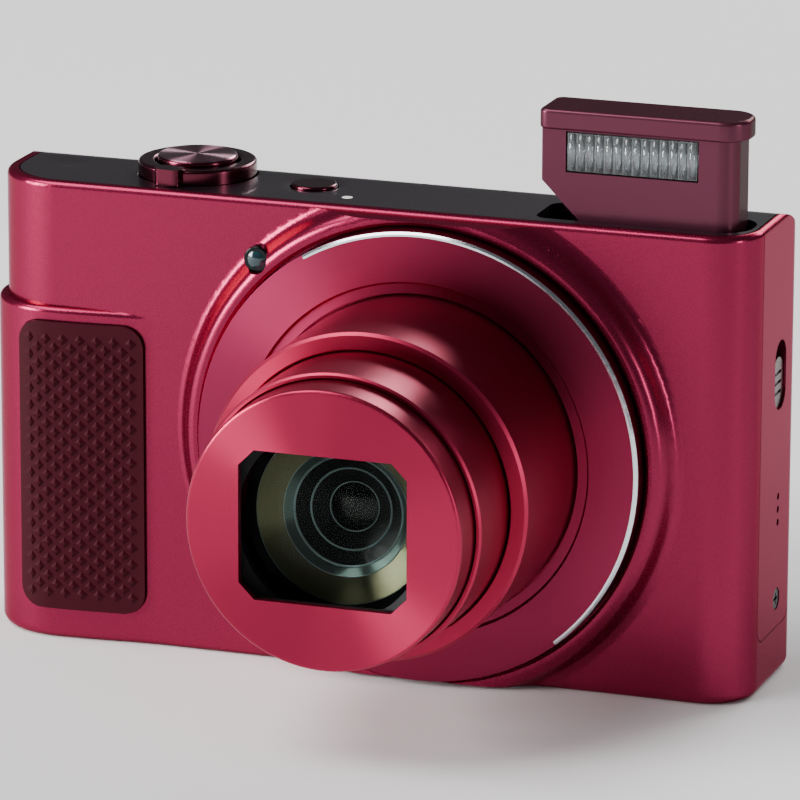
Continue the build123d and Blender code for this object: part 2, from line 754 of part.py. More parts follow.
for half, up in (("upper", 1), ("lower", -1)):
    for place, blade_front in (("outer", INNER_FRONT + 1.0), ("inner", INNER_FRONT + 1.4)):
        with BuildPart() as blade:
            with BuildSketch(front_plane(blade_front)):
                with Locations((LENS_X, LENS_Z)):
                    Circle(BLADE_R)
                    if place == "outer":
                        low_x = EAR_LINE - EAR_LOW
                        high_x = EAR_LINE - BLADE_LOW
                        Polygon(
                            (-BLADE_R, up * BLADE_HIGH),
                            (BLADE_R, up * BLADE_HIGH),
                            (BLADE_R, up * EAR_LOW),
                            (low_x, up * EAR_LOW),
                            (high_x, up * BLADE_LOW),
                            (-high_x, up * BLADE_LOW),
                            (-low_x, up * EAR_LOW),
                            (-BLADE_R, up * EAR_LOW),
                            align=None,
                            mode=Mode.INTERSECT,
                        )
                    else:
                        Polygon(
                            (-BLADE_R, up * BLADE_HIGH),
                            (BLADE_R, up * BLADE_HIGH),
                            (BLADE_R, up * BLADE_LOW),
                            (-BLADE_R, up * BLADE_LOW),
                            align=None,
                            mode=Mode.INTERSECT,
                        )
            extrude(amount=-BLADE_THICK)
        write(blade, f"blade_{half}_{place}")

# Zoom drive

PITCH_R = MODULE * RING_TEETH / 2
PINION_R = MODULE * PINION_TEETH / 2
CENTRES = PITCH_R + PINION_R
PINION_X = LENS_X + CENTRES * cos(radians(PINION_ANGLE))
PINION_Z = LENS_Z + CENTRES * sin(radians(PINION_ANGLE))

with BuildPart() as zoom_drive_ring:
    with BuildSketch(front_plane(DRIVE_FRONT)):
        with Locations((LENS_X, LENS_Z)):
            Circle(PITCH_R - DEDENDUM)
            for tooth in range(SECTOR_FROM, SECTOR_TO + 1):
                with Locations(Rotation(0, 0, PINION_ANGLE + tooth * 360 / RING_TEETH)):
                    Polygon(
                        (PITCH_R - DEDENDUM - 0.2, -0.31),
                        (PITCH_R + ADDENDUM, -0.14),
                        (PITCH_R + ADDENDUM, 0.14),
                        (PITCH_R - DEDENDUM - 0.2, 0.31),
                        align=None,
                    )
            Circle(HOUSING_R + 0.08, mode=Mode.SUBTRACT)
    extrude(amount=DRIVE_FRONT - DRIVE_REAR)
write(zoom_drive_ring, "zoom_drive_ring")

with BuildPart() as zoom_pinion:
    with BuildSketch(front_plane(DRIVE_FRONT)):
        with Locations((PINION_X, PINION_Z)):
            Circle(PINION_R - DEDENDUM)
            for tooth in range(PINION_TEETH):
                with Locations(Rotation(0, 0, PINION_ANGLE + 180 + (tooth + 0.5) * 360 / PINION_TEETH)):
                    Polygon(
                        (PINION_R - DEDENDUM - 0.4, -0.27),
                        (PINION_R + ADDENDUM, -0.10),
                        (PINION_R + ADDENDUM, 0.10),
                        (PINION_R - DEDENDUM - 0.4, 0.27),
                        align=None,
                    )
    extrude(amount=DRIVE_FRONT - DRIVE_REAR)
    with BuildSketch(front_plane(DRIVE_FRONT)):
        with Locations((PINION_X, PINION_Z)):
            Circle(SHAFT_R)
    extrude(amount=4.0)
write(zoom_pinion, "zoom_pinion")

with BuildPart() as zoom_motor:
    with BuildSketch(front_plane(MOTOR_FRONT)):
        with Locations((PINION_X, PINION_Z)):
            Circle(MOTOR_R)
    extrude(amount=-MOTOR_LENGTH)
    with BuildSketch(front_plane(DRIVE_FRONT)):
        with Locations((PINION_X, PINION_Z)):
            Circle(SHAFT_R + 0.05)
    extrude(amount=4.5, mode=Mode.SUBTRACT)
write(zoom_motor, "zoom_motor")

# Flash, raised

with BuildPart() as flash_housing:
    with BuildSketch(front_plane(FLASH_FRONT)):
        Polygon(
            (FLASH_LEFT, FLASH_TOP),
            (FLASH_LEFT, FLASH_CUT - FLASH_LEFT),
            (FLASH_CUT - FLASH_BASE, FLASH_BASE),
            (FLASH_RIGHT, FLASH_BASE),
            (FLASH_RIGHT, FLASH_TOP),
            align=None,
        )
    extrude(amount=FLASH_FRONT - FLASH_REAR)
    fillet(flash_housing.edges().filter_by(Axis.Z).group_by(Axis.X)[-1].sort_by(Axis.Y)[0], 2.3)
    with BuildSketch(front_plane(FLASH_FRONT)):
        with Locations(HEAD_CENTRE):
            Rectangle(HEAD_WIDTH + 0.4, HEAD_HEIGHT + 0.4)
    extrude(amount=-5.0, mode=Mode.SUBTRACT)
write(flash_housing, "flash_housing")

with BuildPart() as flash_cap:
    add(cap_prism(0, FLASH_TOP, CAP_TOP))
    fillet(flash_cap.faces().sort_by(Axis.Z)[-1].edges(), 0.5)
    fillet(flash_cap.faces().sort_by(Axis.Z)[0].edges(), 0.3)
write(flash_cap, "flash_cap")

with BuildPart() as flash_window:
    with BuildSketch(front_plane(FLASH_FRONT + 0.05)):
        with Locations(HEAD_CENTRE):
            Rectangle(HEAD_WIDTH, HEAD_HEIGHT)
    extrude(amount=-0.9)
write(flash_window, "flash_window")

with BuildPart() as flash_reflector:
    with BuildSketch(front_plane(FLASH_FRONT + 1.0)):
        with Locations(HEAD_CENTRE):
            Rectangle(HEAD_WIDTH, HEAD_HEIGHT)
    extrude(amount=-3.9)
    with BuildSketch(Plane.YZ.offset(HEAD_CENTRE[0])):
        with Locations((FLASH_FRONT + 1.0, HEAD_CENTRE[1])):
            Ellipse(3.4, HEAD_HEIGHT / 2 - 0.2)
    extrude(amount=HEAD_WIDTH / 2 - 0.3, both=True, mode=Mode.SUBTRACT)
write(flash_reflector, "flash_reflector")

with BuildPart() as flash_tube:
    with BuildSketch(Plane.YZ.offset(HEAD_CENTRE[0] - HEAD_WIDTH / 2 + 0.3)):
        with Locations((FLASH_FRONT + 3.2, HEAD_CENTRE[1])):
            Circle(0.75)
    extrude(amount=HEAD_WIDTH - 0.6)
write(flash_tube, "flash_tube")

spring_height = FLASH_BASE - SPRING_BASE - 2 * SPRING_WIRE_R
with BuildPart() as flash_spring:
    with BuildLine():
        Helix(
            spring_height / SPRING_TURNS,
            spring_height,
            SPRING_R,
            center=(SPRING_X, SPRING_Y, SPRING_BASE + SPRING_WIRE_R),
        )
    coil_start = (SPRING_X + SPRING_R, SPRING_Y, SPRING_BASE + SPRING_WIRE_R)
    with BuildSketch(Plane(origin=coil_start, z_dir=(0, 1, 0))):
        Circle(SPRING_WIRE_R)
    sweep(is_frenet=True)
write(flash_spring, "flash_spring")

with BuildPart() as flash_capacitor:
    with BuildSketch(Plane.XY.offset(CAPACITOR_BASE)):
        with Locations(CAPACITOR_AT):
            Circle(CAPACITOR_R)
    extrude(amount=CAPACITOR_LENGTH)
    fillet(flash_capacitor.faces().sort_by(Axis.Z)[-1].edges(), 0.5)
write(flash_capacitor, "flash_capacitor")

with BuildPart() as flash_switch:
    with BuildSketch(Plane.YZ.offset(CASE_RIGHT - WALL - 1.1)):
        with Locations((SWITCH_Y, SWITCH_Z - 1.0)):
            Rectangle(6.2, 11.6)
    extrude(amount=0.9)
    with BuildSketch(Plane.YZ.offset(CASE_RIGHT - WALL - 0.3)):
        with Locations((SWITCH_Y, SWITCH_Z - 1.0)):
            SlotOverall(6.2, 4.3, rotation=90)
    extrude(amount=1.1)
    # thumb ribs, cut across the knob
    with BuildSketch(Plane.YZ.offset(CASE_RIGHT - 0.5)):
        with Locations(*[(SWITCH_Y, SWITCH_Z - 1.0 + rib) for rib in (-1.2, 0.0, 1.2)]):
            Rectangle(2.6, 0.4)
    extrude(amount=1.0, mode=Mode.SUBTRACT)
write(flash_switch, "flash_switch")

# Top controls

with BuildPart() as zoom_lever:
    with BuildSketch(Plane.XY.offset(LEVER_FLOOR + 0.1)):
        with Locations((DIAL_X, DIAL_Y)):
            Circle(LEVER_R)
            Circle(STEM_R + 0.3, mode=Mode.SUBTRACT)
    extrude(amount=0.5)
    with BuildSketch(Plane.XY.offset(LEVER_FLOOR + 0.6)):
        with Locations((DIAL_X, DIAL_Y)):
            Circle(LEVER_R)
            Circle(SHUTTER_R + 0.3, mode=Mode.SUBTRACT)
    extrude(amount=LEVER_TOP - LEVER_FLOOR - 0.6)
    fillet(zoom_lever.faces().sort_by(Axis.Z)[-1].edges(), 0.4)
    # finger tab at the front
    tab_turn = Rotation(0, 0, -97)
    with BuildSketch(Plane.XY.offset(HEIGHT + 0.15)):
        with Locations((DIAL_X, DIAL_Y)):
            with Locations(tab_turn):
                with Locations((LEVER_R + 0.1, 0)):
                    RectangleRounded(2.4, 3.4, 0.8)
    extrude(amount=LEVER_TOP + 0.3 - HEIGHT - 0.15)
write(zoom_lever, "zoom_lever")

with BuildPart() as shutter_button:
    with BuildSketch(Plane.XY.offset(SHUTTER_TOP - 1.3)):
        with Locations((DIAL_X, DIAL_Y)):
            Circle(SHUTTER_R)
    extrude(amount=1.3)
    fillet(shutter_button.faces().sort_by(Axis.Z)[-1].edges(), 0.45)
    with BuildSketch(Plane.XY.offset(STEM_BASE)):
        with Locations((DIAL_X, DIAL_Y)):
            Circle(STEM_R)
    extrude(amount=SHUTTER_TOP - STEM_BASE - 1.0)
    with BuildSketch(Plane.XY.offset(STEM_BASE)):
        with Locations((DIAL_X, DIAL_Y)):
            Circle(STEM_R + 0.7)
    extrude(amount=0.6)
write(shutter_button, "shutter_button")

with BuildPart() as power_button:
    with BuildSketch(Plane.XY.offset(54.6)):
        with Locations((POWER_X, POWER_Y)):
            Circle(POWER_R)
    extrude(amount=HEIGHT + 0.25 - 54.6)
    fillet(power_button.faces().sort_by(Axis.Z)[-1].edges(), 0.3)
    with BuildSketch(Plane.XY.offset(54.6)):
        with Locations((POWER_X, POWER_Y)):
            Circle(POWER_R + 0.6)
    extrude(amount=0.6)
write(power_button, "power_button")

with BuildPart() as status_lamps:
    with BuildSketch(Plane.XY.offset(HEIGHT - WALL - 0.2)):
        with Locations((LAMP_X, LAMP_Y)):
            Circle(LAMP_R)
    extrude(amount=WALL + 0.2)
    with BuildSketch(front_plane(REAR)):
        with Locations(BACK_LAMP):
            Circle(LAMP_R)
    extrude(amount=WALL + 0.2)
write(status_lamps, "status_lamps")

with BuildPart() as af_lamp_window:
    with BuildSketch(front_plane(AF_LAMP_FRONT)):
        with Locations(AF_LAMP_AT):
            Circle(AF_LAMP_R)
    extrude(amount=AF_LAMP_FRONT - AF_LAMP_REAR)
    fillet(af_lamp_window.faces().sort_by(Axis.Y)[0].edges(), 0.2)
write(af_lamp_window, "af_lamp_window")

with BuildPart() as microphones:
    with BuildSketch(Plane.XY.offset(53.2)):
        with Locations(*[(mic_x, MIC_Y) for mic_x in MIC_XS]):
            Circle(2.0)
    extrude(amount=1.7)
write(microphones, "microphones")

# Back controls

for button_name, (button_x, button_z), button_r in (
    ("playback_button", PLAYBACK_AT, SMALL_BUTTON_R),
    ("menu_button", MENU_AT, SMALL_BUTTON_R),
    ("movie_button", MOVIE_AT, MOVIE_BUTTON_R),
):
    with BuildPart() as button:
        with BuildSketch(front_plane(REAR + BUTTON_PROUD)):
            with Locations((button_x, button_z)):
                Circle(button_r)
        extrude(amount=2.9)
        fillet(button.faces().sort_by(Axis.Y)[-1].edges(), 0.25)
        with BuildSketch(front_plane(BUTTON_FLANGE_Y)):
            with Locations((button_x, button_z)):
                Circle(button_r + 0.6)
        extrude(amount=BUTTON_FLANGE_THICK)
    write(button, button_name)

with BuildPart() as four_way_pad:
    with BuildSketch(front_plane(REAR + BUTTON_PROUD)):
        with Locations((PADDLE_X, PADDLE_Z)):
            Circle(PADDLE_R)
    extrude(amount=2.9)
    fillet(four_way_pad.faces().sort_by(Axis.Y)[-1].edges(), 0.35)
    with BuildSketch(front_plane(BUTTON_FLANGE_Y)):
        with Locations((PADDLE_X, PADDLE_Z)):
            Circle(PADDLE_R + 0.8)
    extrude(amount=BUTTON_FLANGE_THICK)
    with BuildSketch(front_plane(REAR + BUTTON_PROUD)):
        with Locations((PADDLE_X, PADDLE_Z)):
            Circle(SET_R + 0.4)
    extrude(amount=4, mode=Mode.SUBTRACT)
write(four_way_pad, "four_way_pad")

with BuildPart() as set_button:
    with BuildSketch(front_plane(REAR + BUTTON_PROUD + 0.1)):
        with Locations((PADDLE_X, PADDLE_Z)):
            Circle(SET_R)
    extrude(amount=3.0)
    fillet(set_button.faces().sort_by(Axis.Y)[-1].edges(), 0.35)
write(set_button, "set_button")

with BuildPart() as lcd_window:
    with BuildSketch(front_plane(REAR - 0.05)):
        with Locations(((SCREEN_LEFT + SCREEN_RIGHT) / 2, (SCREEN_LOW + SCREEN_HIGH) / 2)):
            RectangleRounded(SCREEN_RIGHT - SCREEN_LEFT, SCREEN_HIGH - SCREEN_LOW, 0.85)
    extrude(amount=1.1)
write(lcd_window, "lcd_window")

with BuildPart() as lcd_module:
    with BuildSketch(front_plane(REAR - 1.2)):
        with Locations(((SCREEN_LEFT + SCREEN_RIGHT) / 2, (SCREEN_LOW + SCREEN_HIGH) / 2)):
            Rectangle(SCREEN_RIGHT - SCREEN_LEFT - 2.0, SCREEN_HIGH - SCREEN_LOW - 2.0)
    extrude(amount=2.6)
write(lcd_module, "lcd_module")

# Inside: chassis, board, battery and card

with BuildPart() as chassis_plate:
    with BuildSketch(front_plane(CHASSIS_Y)):
        with Locations((2.5, 26.5)):
            Rectangle(83.0, 47.0)
        with Locations((FOOT_X, 2.5)):
            Rectangle(FOOT_WIDTH, 2.7)
        with Locations((LENS_X, LENS_Z)):
            Rectangle(14.0, 12.0, mode=Mode.SUBTRACT)
    extrude(amount=-0.6)
    # foot that the base screws hold
    with BuildSketch(Plane.XY.offset(WALL + 0.05)):
        with Locations((FOOT_X, (CHASSIS_Y + FOOT_FRONT) / 2)):
            Rectangle(FOOT_WIDTH, CHASSIS_Y - FOOT_FRONT)
        Circle(SOCKET_R + 0.05, mode=Mode.SUBTRACT)
        with Locations(*BASE_SCREWS):
            Circle(SCREW_SHANK_R, mode=Mode.SUBTRACT)
    extrude(amount=0.6)
    # shelf and post for the flash spring
    with BuildSketch(Plane.XY.offset(SPRING_BASE - 0.8)):
        with Locations((SPRING_X, (CHASSIS_Y + FOOT_FRONT) / 2)):
            Rectangle(6.0, CHASSIS_Y - FOOT_FRONT)
    extrude(amount=0.8)
    with BuildSketch(Plane.XY.offset(SPRING_BASE)):
        with Locations((SPRING_X, SPRING_Y)):
            Circle(SPRING_POST_R)
    extrude(amount=4.5)
write(chassis_plate, "chassis_plate")

with BuildPart() as main_board:
    with BuildSketch(front_plane(BOARD_Y)):
        with Locations((1.0, 24.0)):
            Rectangle(86.0, 40.0)
    extrude(amount=-0.8)
    # processor, memory, driver chips, and the domes under the buttons
    for chip_x, chip_z, chip_w, chip_h in (
        (24.0, 38.0, 9.0, 9.0),
        (34.0, 20.0, 6.0, 4.0),
        (-6.0, 12.0, 5.0, 7.0),
    ):
        with BuildSketch(front_plane(BOARD_Y + 0.8)):
            with Locations((chip_x, chip_z)):
                Rectangle(chip_w, chip_h)
        extrude(amount=-0.35)
    with BuildSketch(front_plane(BOARD_Y + 0.8)):
        with Locations(PLAYBACK_AT, MENU_AT, MOVIE_AT, (PADDLE_X, PADDLE_Z)):
            Circle(1.5)
        with Locations((PADDLE_X, PADDLE_Z)):
            with PolarLocations(7.4, 4):
                Circle(1.2)
    extrude(amount=-1.4)
write(main_board, "main_board")

with BuildPart() as battery:
    with BuildSketch(Plane.XY.offset(BATTERY_BASE)):
        with Locations((BATTERY_X, BATTERY_Y)):
            RectangleRounded(BATTERY_WIDTH, BATTERY_DEPTH, 2.3)
    extrude(amount=BATTERY_LENGTH)
write(battery, "battery")

with BuildPart() as battery_case:
    with BuildSketch(Plane.XY.offset(BATTERY_BASE)):
        with Locations((BATTERY_X, BATTERY_Y)):
            RectangleRounded(BATTERY_WIDTH + 1.2, BATTERY_DEPTH + 1.2, 2.9)
    extrude(amount=BATTERY_LENGTH + 1.0)
    with BuildSketch(Plane.XY.offset(BATTERY_BASE)):
        with Locations((BATTERY_X, BATTERY_Y)):
            RectangleRounded(BATTERY_WIDTH + 0.2, BATTERY_DEPTH + 0.2, 2.4)
    extrude(amount=BATTERY_LENGTH + 0.3, mode=Mode.SUBTRACT)
write(battery_case, "battery_case")

with BuildPart() as memory_card:
    with BuildSketch(front_plane(2.2)) as card_face:
        with Locations((CARD_X, 18.0)):
            Rectangle(24.0, 32.0)
        chamfer(card_face.vertices().sort_by(Axis.X)[:2].sort_by(Axis.Y)[-1], 4.0)
    extrude(amount=-2.1)
write(memory_card, "memory_card")

with BuildPart() as card_slot:
    with BuildSketch(Plane.XY.offset(6.0)):
        with Locations((CARD_X, 3.3)):
            Rectangle(25.0, 2.7)
        with Locations((CARD_X, 3.15)):
            Rectangle(24.2, 2.4, mode=Mode.SUBTRACT)
        with Locations((CARD_X, 2.0)):
            Rectangle(24.2, 0.5, mode=Mode.SUBTRACT)
    extrude(amount=28.5)
    with BuildSketch(Plane.XY.offset(34.1)):
        with Locations((CARD_X, 3.3)):
            Rectangle(25.0, 2.7)
    extrude(amount=0.4)
write(card_slot, "card_slot")

with BuildPart() as tripod_socket:
    with BuildSketch(Plane.XY):
        Circle(SOCKET_R)
    extrude(amount=SOCKET_DEPTH + 0.6)
    with BuildSketch(Plane.XY):
        Circle(SOCKET_BORE_R)
    extrude(amount=SOCKET_DEPTH, mode=Mode.SUBTRACT)
write(tripod_socket, "tripod_socket")

with BuildPart() as case_screws:
    base_heads = [(Plane.XY.offset(SCREW_FIT), screw_at, 1) for screw_at in BASE_SCREWS]
    side_at = (SIDE_SCREW_Y, SIDE_SCREW_Z)
    side_heads = [
        (Plane.YZ.offset(GRIP_LEFT + SCREW_FIT), side_at, 1),
        (Plane.YZ.offset(CASE_RIGHT - SCREW_FIT), side_at, -1),
    ]
    for head_plane, screw_at, inward in base_heads + side_heads:
        with BuildSketch(head_plane):
            with Locations(screw_at):
                Circle(SCREW_HEAD_R)
        extrude(amount=SCREW_HEAD * inward)
        with BuildSketch(head_plane):
            with Locations(screw_at):
                Circle(SCREW_SHANK_R)
        extrude(amount=SCREW_LENGTH * inward)
        with BuildSketch(head_plane):
            with Locations(screw_at):
                Rectangle(RECESS_LONG, RECESS_WIDE)
                Rectangle(RECESS_WIDE, RECESS_LONG)
        extrude(amount=RECESS_DEEP * inward, mode=Mode.SUBTRACT)
write(case_screws, "case_screws")

with BuildPart() as strap_eyelet:
    with BuildSketch(Plane.XY.offset(43.4)):
        with Locations((CASE_LEFT + WALL + 1.3, 0)):
            Rectangle(2.1, 7.0)
    extrude(amount=9.2)
    with BuildSketch(Plane.XY.offset(44.0)):
        with Locations((CASE_LEFT + WALL + 0.8, 0)):
            Rectangle(2.3, 6.0)
    extrude(amount=8.0, mode=Mode.SUBTRACT)
    with BuildSketch(Plane.XY.offset(43.9)):
        with Locations((CASE_LEFT + WALL + 0.05, 0)):
            Circle(0.7)
    extrude(amount=8.2)
write(strap_eyelet, "strap_eyelet")

with BuildPart() as battery_door:
    add(door_prism(0, 0.0, WALL, DOOR_HINGE_Y))
    # knuckles stand back from the lugs at both ends
    with BuildSketch(Plane.YZ.offset(DOOR_LEFT)):
        with Locations((DOOR_HINGE_Y, DOOR_HINGE_Z)):
            Circle(DOOR_HINGE_Z)
    extrude(amount=DOOR_RIGHT - DOOR_LEFT)
    with BuildSketch(Plane.YZ.offset(DOOR_LEFT)):
        with Locations((DOOR_HINGE_Y, DOOR_HINGE_Z)):
            Circle(PIN_R + 0.06)
    extrude(amount=DOOR_RIGHT - DOOR_LEFT, mode=Mode.SUBTRACT)
write(battery_door, "battery_door")

with BuildPart() as door_hinge_pin:
    with BuildSketch(Plane.YZ.offset(DOOR_LEFT - DOOR_GAP - 0.9)):
        with Locations((DOOR_HINGE_Y, DOOR_HINGE_Z)):
            Circle(PIN_R)
    extrude(amount=DOOR_RIGHT - DOOR_LEFT + 2 * DOOR_GAP + 1.8)
write(door_hinge_pin, "door_hinge_pin")

with BuildPart() as terminal_cover:
    with BuildSketch(Plane.XY.offset(FLAP_LOW)):
        with Locations((KNUCKLE_X, (FLAP_FRONT + FLAP_REAR) / 2)):
            Rectangle(1.0, FLAP_REAR - FLAP_FRONT)
        with Locations((KNUCKLE_X, FLAP_FRONT)):
            Circle(0.5)
    extrude(amount=FLAP_HIGH - FLAP_LOW)
    # trunnions that turn in the case above and below
    with BuildSketch(Plane.XY.offset(FLAP_LOW - 0.7)):
        with Locations((KNUCKLE_X, FLAP_FRONT)):
            Circle(TRUNNION_R)
    extrude(amount=FLAP_HIGH - FLAP_LOW + 1.4)
write(terminal_cover, "terminal_cover")

for port_name, port_z, port_long, port_wide in (("usb_port", 22.5, 7.0, 2.7), ("hdmi_port", 33.5, 6.4, 2.6)):
    with BuildPart() as port:
        with BuildSketch(Plane.YZ.offset(PORT_X)):
            with Locations((PORT_Y, port_z)):
                RectangleRounded(port_wide, port_long, 0.5)
        extrude(amount=5.5)
        with BuildSketch(Plane.YZ.offset(PORT_X)):
            with Locations((PORT_Y, port_z)):
                RectangleRounded(port_wide - 0.6, port_long - 0.6, 0.3)
        extrude(amount=4.8, mode=Mode.SUBTRACT)
        with BuildSketch(Plane.YZ.offset(PORT_X + 0.6)):
            with Locations((PORT_Y, port_z)):
                Rectangle(0.6, port_long - 2.0)
        extrude(amount=4.5)
    write(port, port_name)

with BuildPart() as speaker:
    with BuildSketch(Plane.YZ.offset(44.9)):
        with Locations((SPEAKER_Y, SPEAKER_Z)):
            Circle(SPEAKER_R)
    extrude(amount=2.2)
    with BuildSketch(Plane.YZ.offset(46.7)):
        with Locations((SPEAKER_Y, SPEAKER_Z)):
            Circle(SPEAKER_R - 0.6)
    extrude(amount=1, mode=Mode.SUBTRACT)
write(speaker, "speaker")
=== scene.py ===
"""Finish of a compact digital camera: painted case, spun lens barrels, rubber grip, glass and studio."""

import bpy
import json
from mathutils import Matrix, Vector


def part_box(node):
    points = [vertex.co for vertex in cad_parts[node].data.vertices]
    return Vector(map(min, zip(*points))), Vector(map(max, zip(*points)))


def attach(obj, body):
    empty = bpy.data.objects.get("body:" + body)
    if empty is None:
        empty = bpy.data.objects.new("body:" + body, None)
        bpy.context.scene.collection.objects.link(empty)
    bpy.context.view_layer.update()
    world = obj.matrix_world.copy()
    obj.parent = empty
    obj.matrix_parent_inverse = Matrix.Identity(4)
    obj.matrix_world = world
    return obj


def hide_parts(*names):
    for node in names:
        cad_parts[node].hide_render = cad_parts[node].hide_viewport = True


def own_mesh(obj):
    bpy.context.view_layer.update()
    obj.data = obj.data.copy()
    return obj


bl_info = {
    "name": "Compact Camera Finish",
    "version": (1, 0, 0),
    "blender": (4, 5, 0),
    "location": "3D View > Sidebar > Camera Finish",
    "description": "Gives the pieces of a compact digital camera their finish and adds its fine details",
    "category": "Object",
}

import json
from math import cos, pi, radians, sin, tau

import bmesh
import bpy
from bpy.props import FloatProperty, IntProperty, PointerProperty, StringProperty
from mathutils import Matrix, Vector

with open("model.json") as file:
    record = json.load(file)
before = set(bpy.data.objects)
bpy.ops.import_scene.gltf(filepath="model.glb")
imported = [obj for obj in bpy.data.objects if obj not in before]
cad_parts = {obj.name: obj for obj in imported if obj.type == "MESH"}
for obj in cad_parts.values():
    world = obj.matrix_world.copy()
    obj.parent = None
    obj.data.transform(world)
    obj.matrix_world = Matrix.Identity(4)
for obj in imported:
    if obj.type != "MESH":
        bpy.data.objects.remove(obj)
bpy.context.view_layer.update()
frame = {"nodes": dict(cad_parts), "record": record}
BODIES = frame["record"]["behaviour"]["bodies"]
BODY_OF = {node: body for body, nodes in BODIES.items() for node in nodes}
SLOT_OF = {piece["node"]: piece["material_slot"] for piece in frame["record"]["subparts"]}
MM = 0.001
WELD = 2e-6  # metres; triangle corners nearer than this are one corner
SHARP = radians(32)  # edges sharper than this stay crisp


def middle(node):
    """The middle of a CAD piece's box."""
    low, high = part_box(node)
    return (low + high) / 2


LENS = middle("front_plate")
GLASS_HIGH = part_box("front_lens")[1]
PAD_LOW, PAD_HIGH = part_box("grip_pad")
WINDOW_LOW, WINDOW_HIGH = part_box("flash_window")
SHUTTER = middle("shutter_button")


# Node and mesh helpers


def linear(code):
    """An sRGB hex colour as the linear colour that shaders work in."""
    parts = [int(code[i : i + 2], 16) / 255 for i in (1, 3, 5)]
    return (*[p / 12.92 if p <= 0.04045 else ((p + 0.055) / 1.055) ** 2.4 for p in parts], 1.0)


def add(tree, kind, inputs=None, **settings):
    """Add a node. An input given as a socket is linked, and any other input is its value."""
    node = tree.nodes.new(kind)
    for name, value in settings.items():
        setattr(node, name, value)
    for key, value in (inputs or {}).items():
        if isinstance(value, bpy.types.NodeSocket):
            tree.links.new(value, node.inputs[key])
        else:
            node.inputs[key].default_value = value
    return node


def new_material(name):
    """An empty material: its tree, its shader and its place in millimetres."""
    material = bpy.data.materials.new(name)
    material.use_nodes = True
    tree = material.node_tree
    tree.nodes.clear()
    shader = add(tree, "ShaderNodeBsdfPrincipled")
    add(tree, "ShaderNodeOutputMaterial", {"Surface": shader.outputs[0]})
    place = add(tree, "ShaderNodeTexCoord").outputs["Object"]
    millimetres = add(tree, "ShaderNodeVectorMath", {0: place, "Scale": 1 / MM}, operation="SCALE")
    return material, tree, shader, millimetres.outputs[0]


def speckled(
    name, code, grain, depth, mottle=0.12, metallic=0.0, roughness=0.4, spread=0.06, **shader_inputs
):
    """A finish whose grain, in mm, shades its colour and roughness and lifts its surface by depth."""
    material, tree, shader, place = new_material(name)
    noise = add(
        tree, "ShaderNodeTexNoise", {"Vector": place, "Scale": 1 / grain, "Detail": 3.0, "Roughness": 0.6}
    )
    base = linear(code)
    dark = (*[c * (1 - mottle) for c in base[:3]], 1.0)
    light = (*[min(1.0, c * (1 + mottle)) for c in base[:3]], 1.0)
    tint = add(tree, "ShaderNodeMix", {0: noise.outputs[0], 6: dark, 7: light}, data_type="RGBA")
    gloss = add(
        tree,
        "ShaderNodeMapRange",
        {0: noise.outputs[0], 1: 0.3, 2: 0.7, 3: max(0.02, roughness - spread), 4: roughness + spread},
    )
    bump = add(tree, "ShaderNodeBump", {"Strength": 1.0, "Distance": depth * MM, "Height": noise.outputs[0]})
    tree.links.new(tint.outputs[2], shader.inputs["Base Color"])
    tree.links.new(gloss.outputs[0], shader.inputs["Roughness"])
    tree.links.new(bump.outputs[0], shader.inputs["Normal"])
    shader.inputs["Metallic"].default_value = metallic
    for key, value in shader_inputs.items():
        shader.inputs[key.replace("_", " ")].default_value = value
    return material


def finish_piece(piece, body, slot, *stands_for):
    """Hang a finished piece on its body and hide the CAD pieces that it stands for; the slot is not used."""
    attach(piece, body)
    if stands_for:
        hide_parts(*stands_for)
    return piece


def object_from(form, name, material):
    """A linked object whose mesh is the bmesh form, in metres."""
    mesh = bpy.data.meshes.new(name)
    form.to_mesh(mesh)
    form.free()
    mesh.materials.append(material)
    piece = bpy.data.objects.new(name, mesh)
    bpy.context.scene.collection.objects.link(piece)
    return piece


def soften(mesh):
    """Smooth shading that keeps the real edges crisp."""
    if "custom_normal" in mesh.attributes:
        mesh.attributes.remove(mesh.attributes["custom_normal"])
    mesh.shade_smooth()
    mesh.set_sharp_from_angle(angle=SHARP)


def skin(node, material):
    """A welded, smooth-shaded copy of a CAD piece, which stands for it."""
    form = bmesh.new()
    form.from_mesh(frame["nodes"][node].data)
    bmesh.ops.remove_doubles(form, verts=form.verts, dist=WELD)
    piece = object_from(form, f"{node}_finished", material)
    soften(piece.data)
    weights = piece.modifiers.new("Weighted Normal", "WEIGHTED_NORMAL")
    weights.keep_sharp = True
    return finish_piece(piece, BODY_OF[node], SLOT_OF[node], node)


def spin_faces(piece, along, material):
    """Give the faces that look along an axis the spun material."""
    piece.data.materials.append(material)
    for face in piece.data.polygons:
        if abs(face.normal[along]) > 0.8:
            face.material_index = 1
    return piece


def lathe(name, profile, centre, material, steps=96):
    """A closed ring turned about a line along Y through centre, from radius and Y pairs in mm."""
    form = bmesh.new()
    rings = []
    for step in range(steps):
        angle = tau * step / steps
        rings.append(
            [
                form.verts.new(
                    (centre.x + r * MM * cos(angle), y * MM, centre.z + r * MM * sin(angle))
                )
                for r, y in profile
            ]
        )
    count = len(profile)
    for step in range(steps):
        here, there = rings[step], rings[(step + 1) % steps]
        for i in range(count):
            j = (i + 1) % count
            form.faces.new((here[i], there[i], there[j], here[j]))
    bmesh.ops.remove_doubles(form, verts=form.verts, dist=WELD)
    bmesh.ops.recalc_face_normals(form, faces=form.faces)
    piece = object_from(form, name, material)
    soften(piece.data)
    return piece


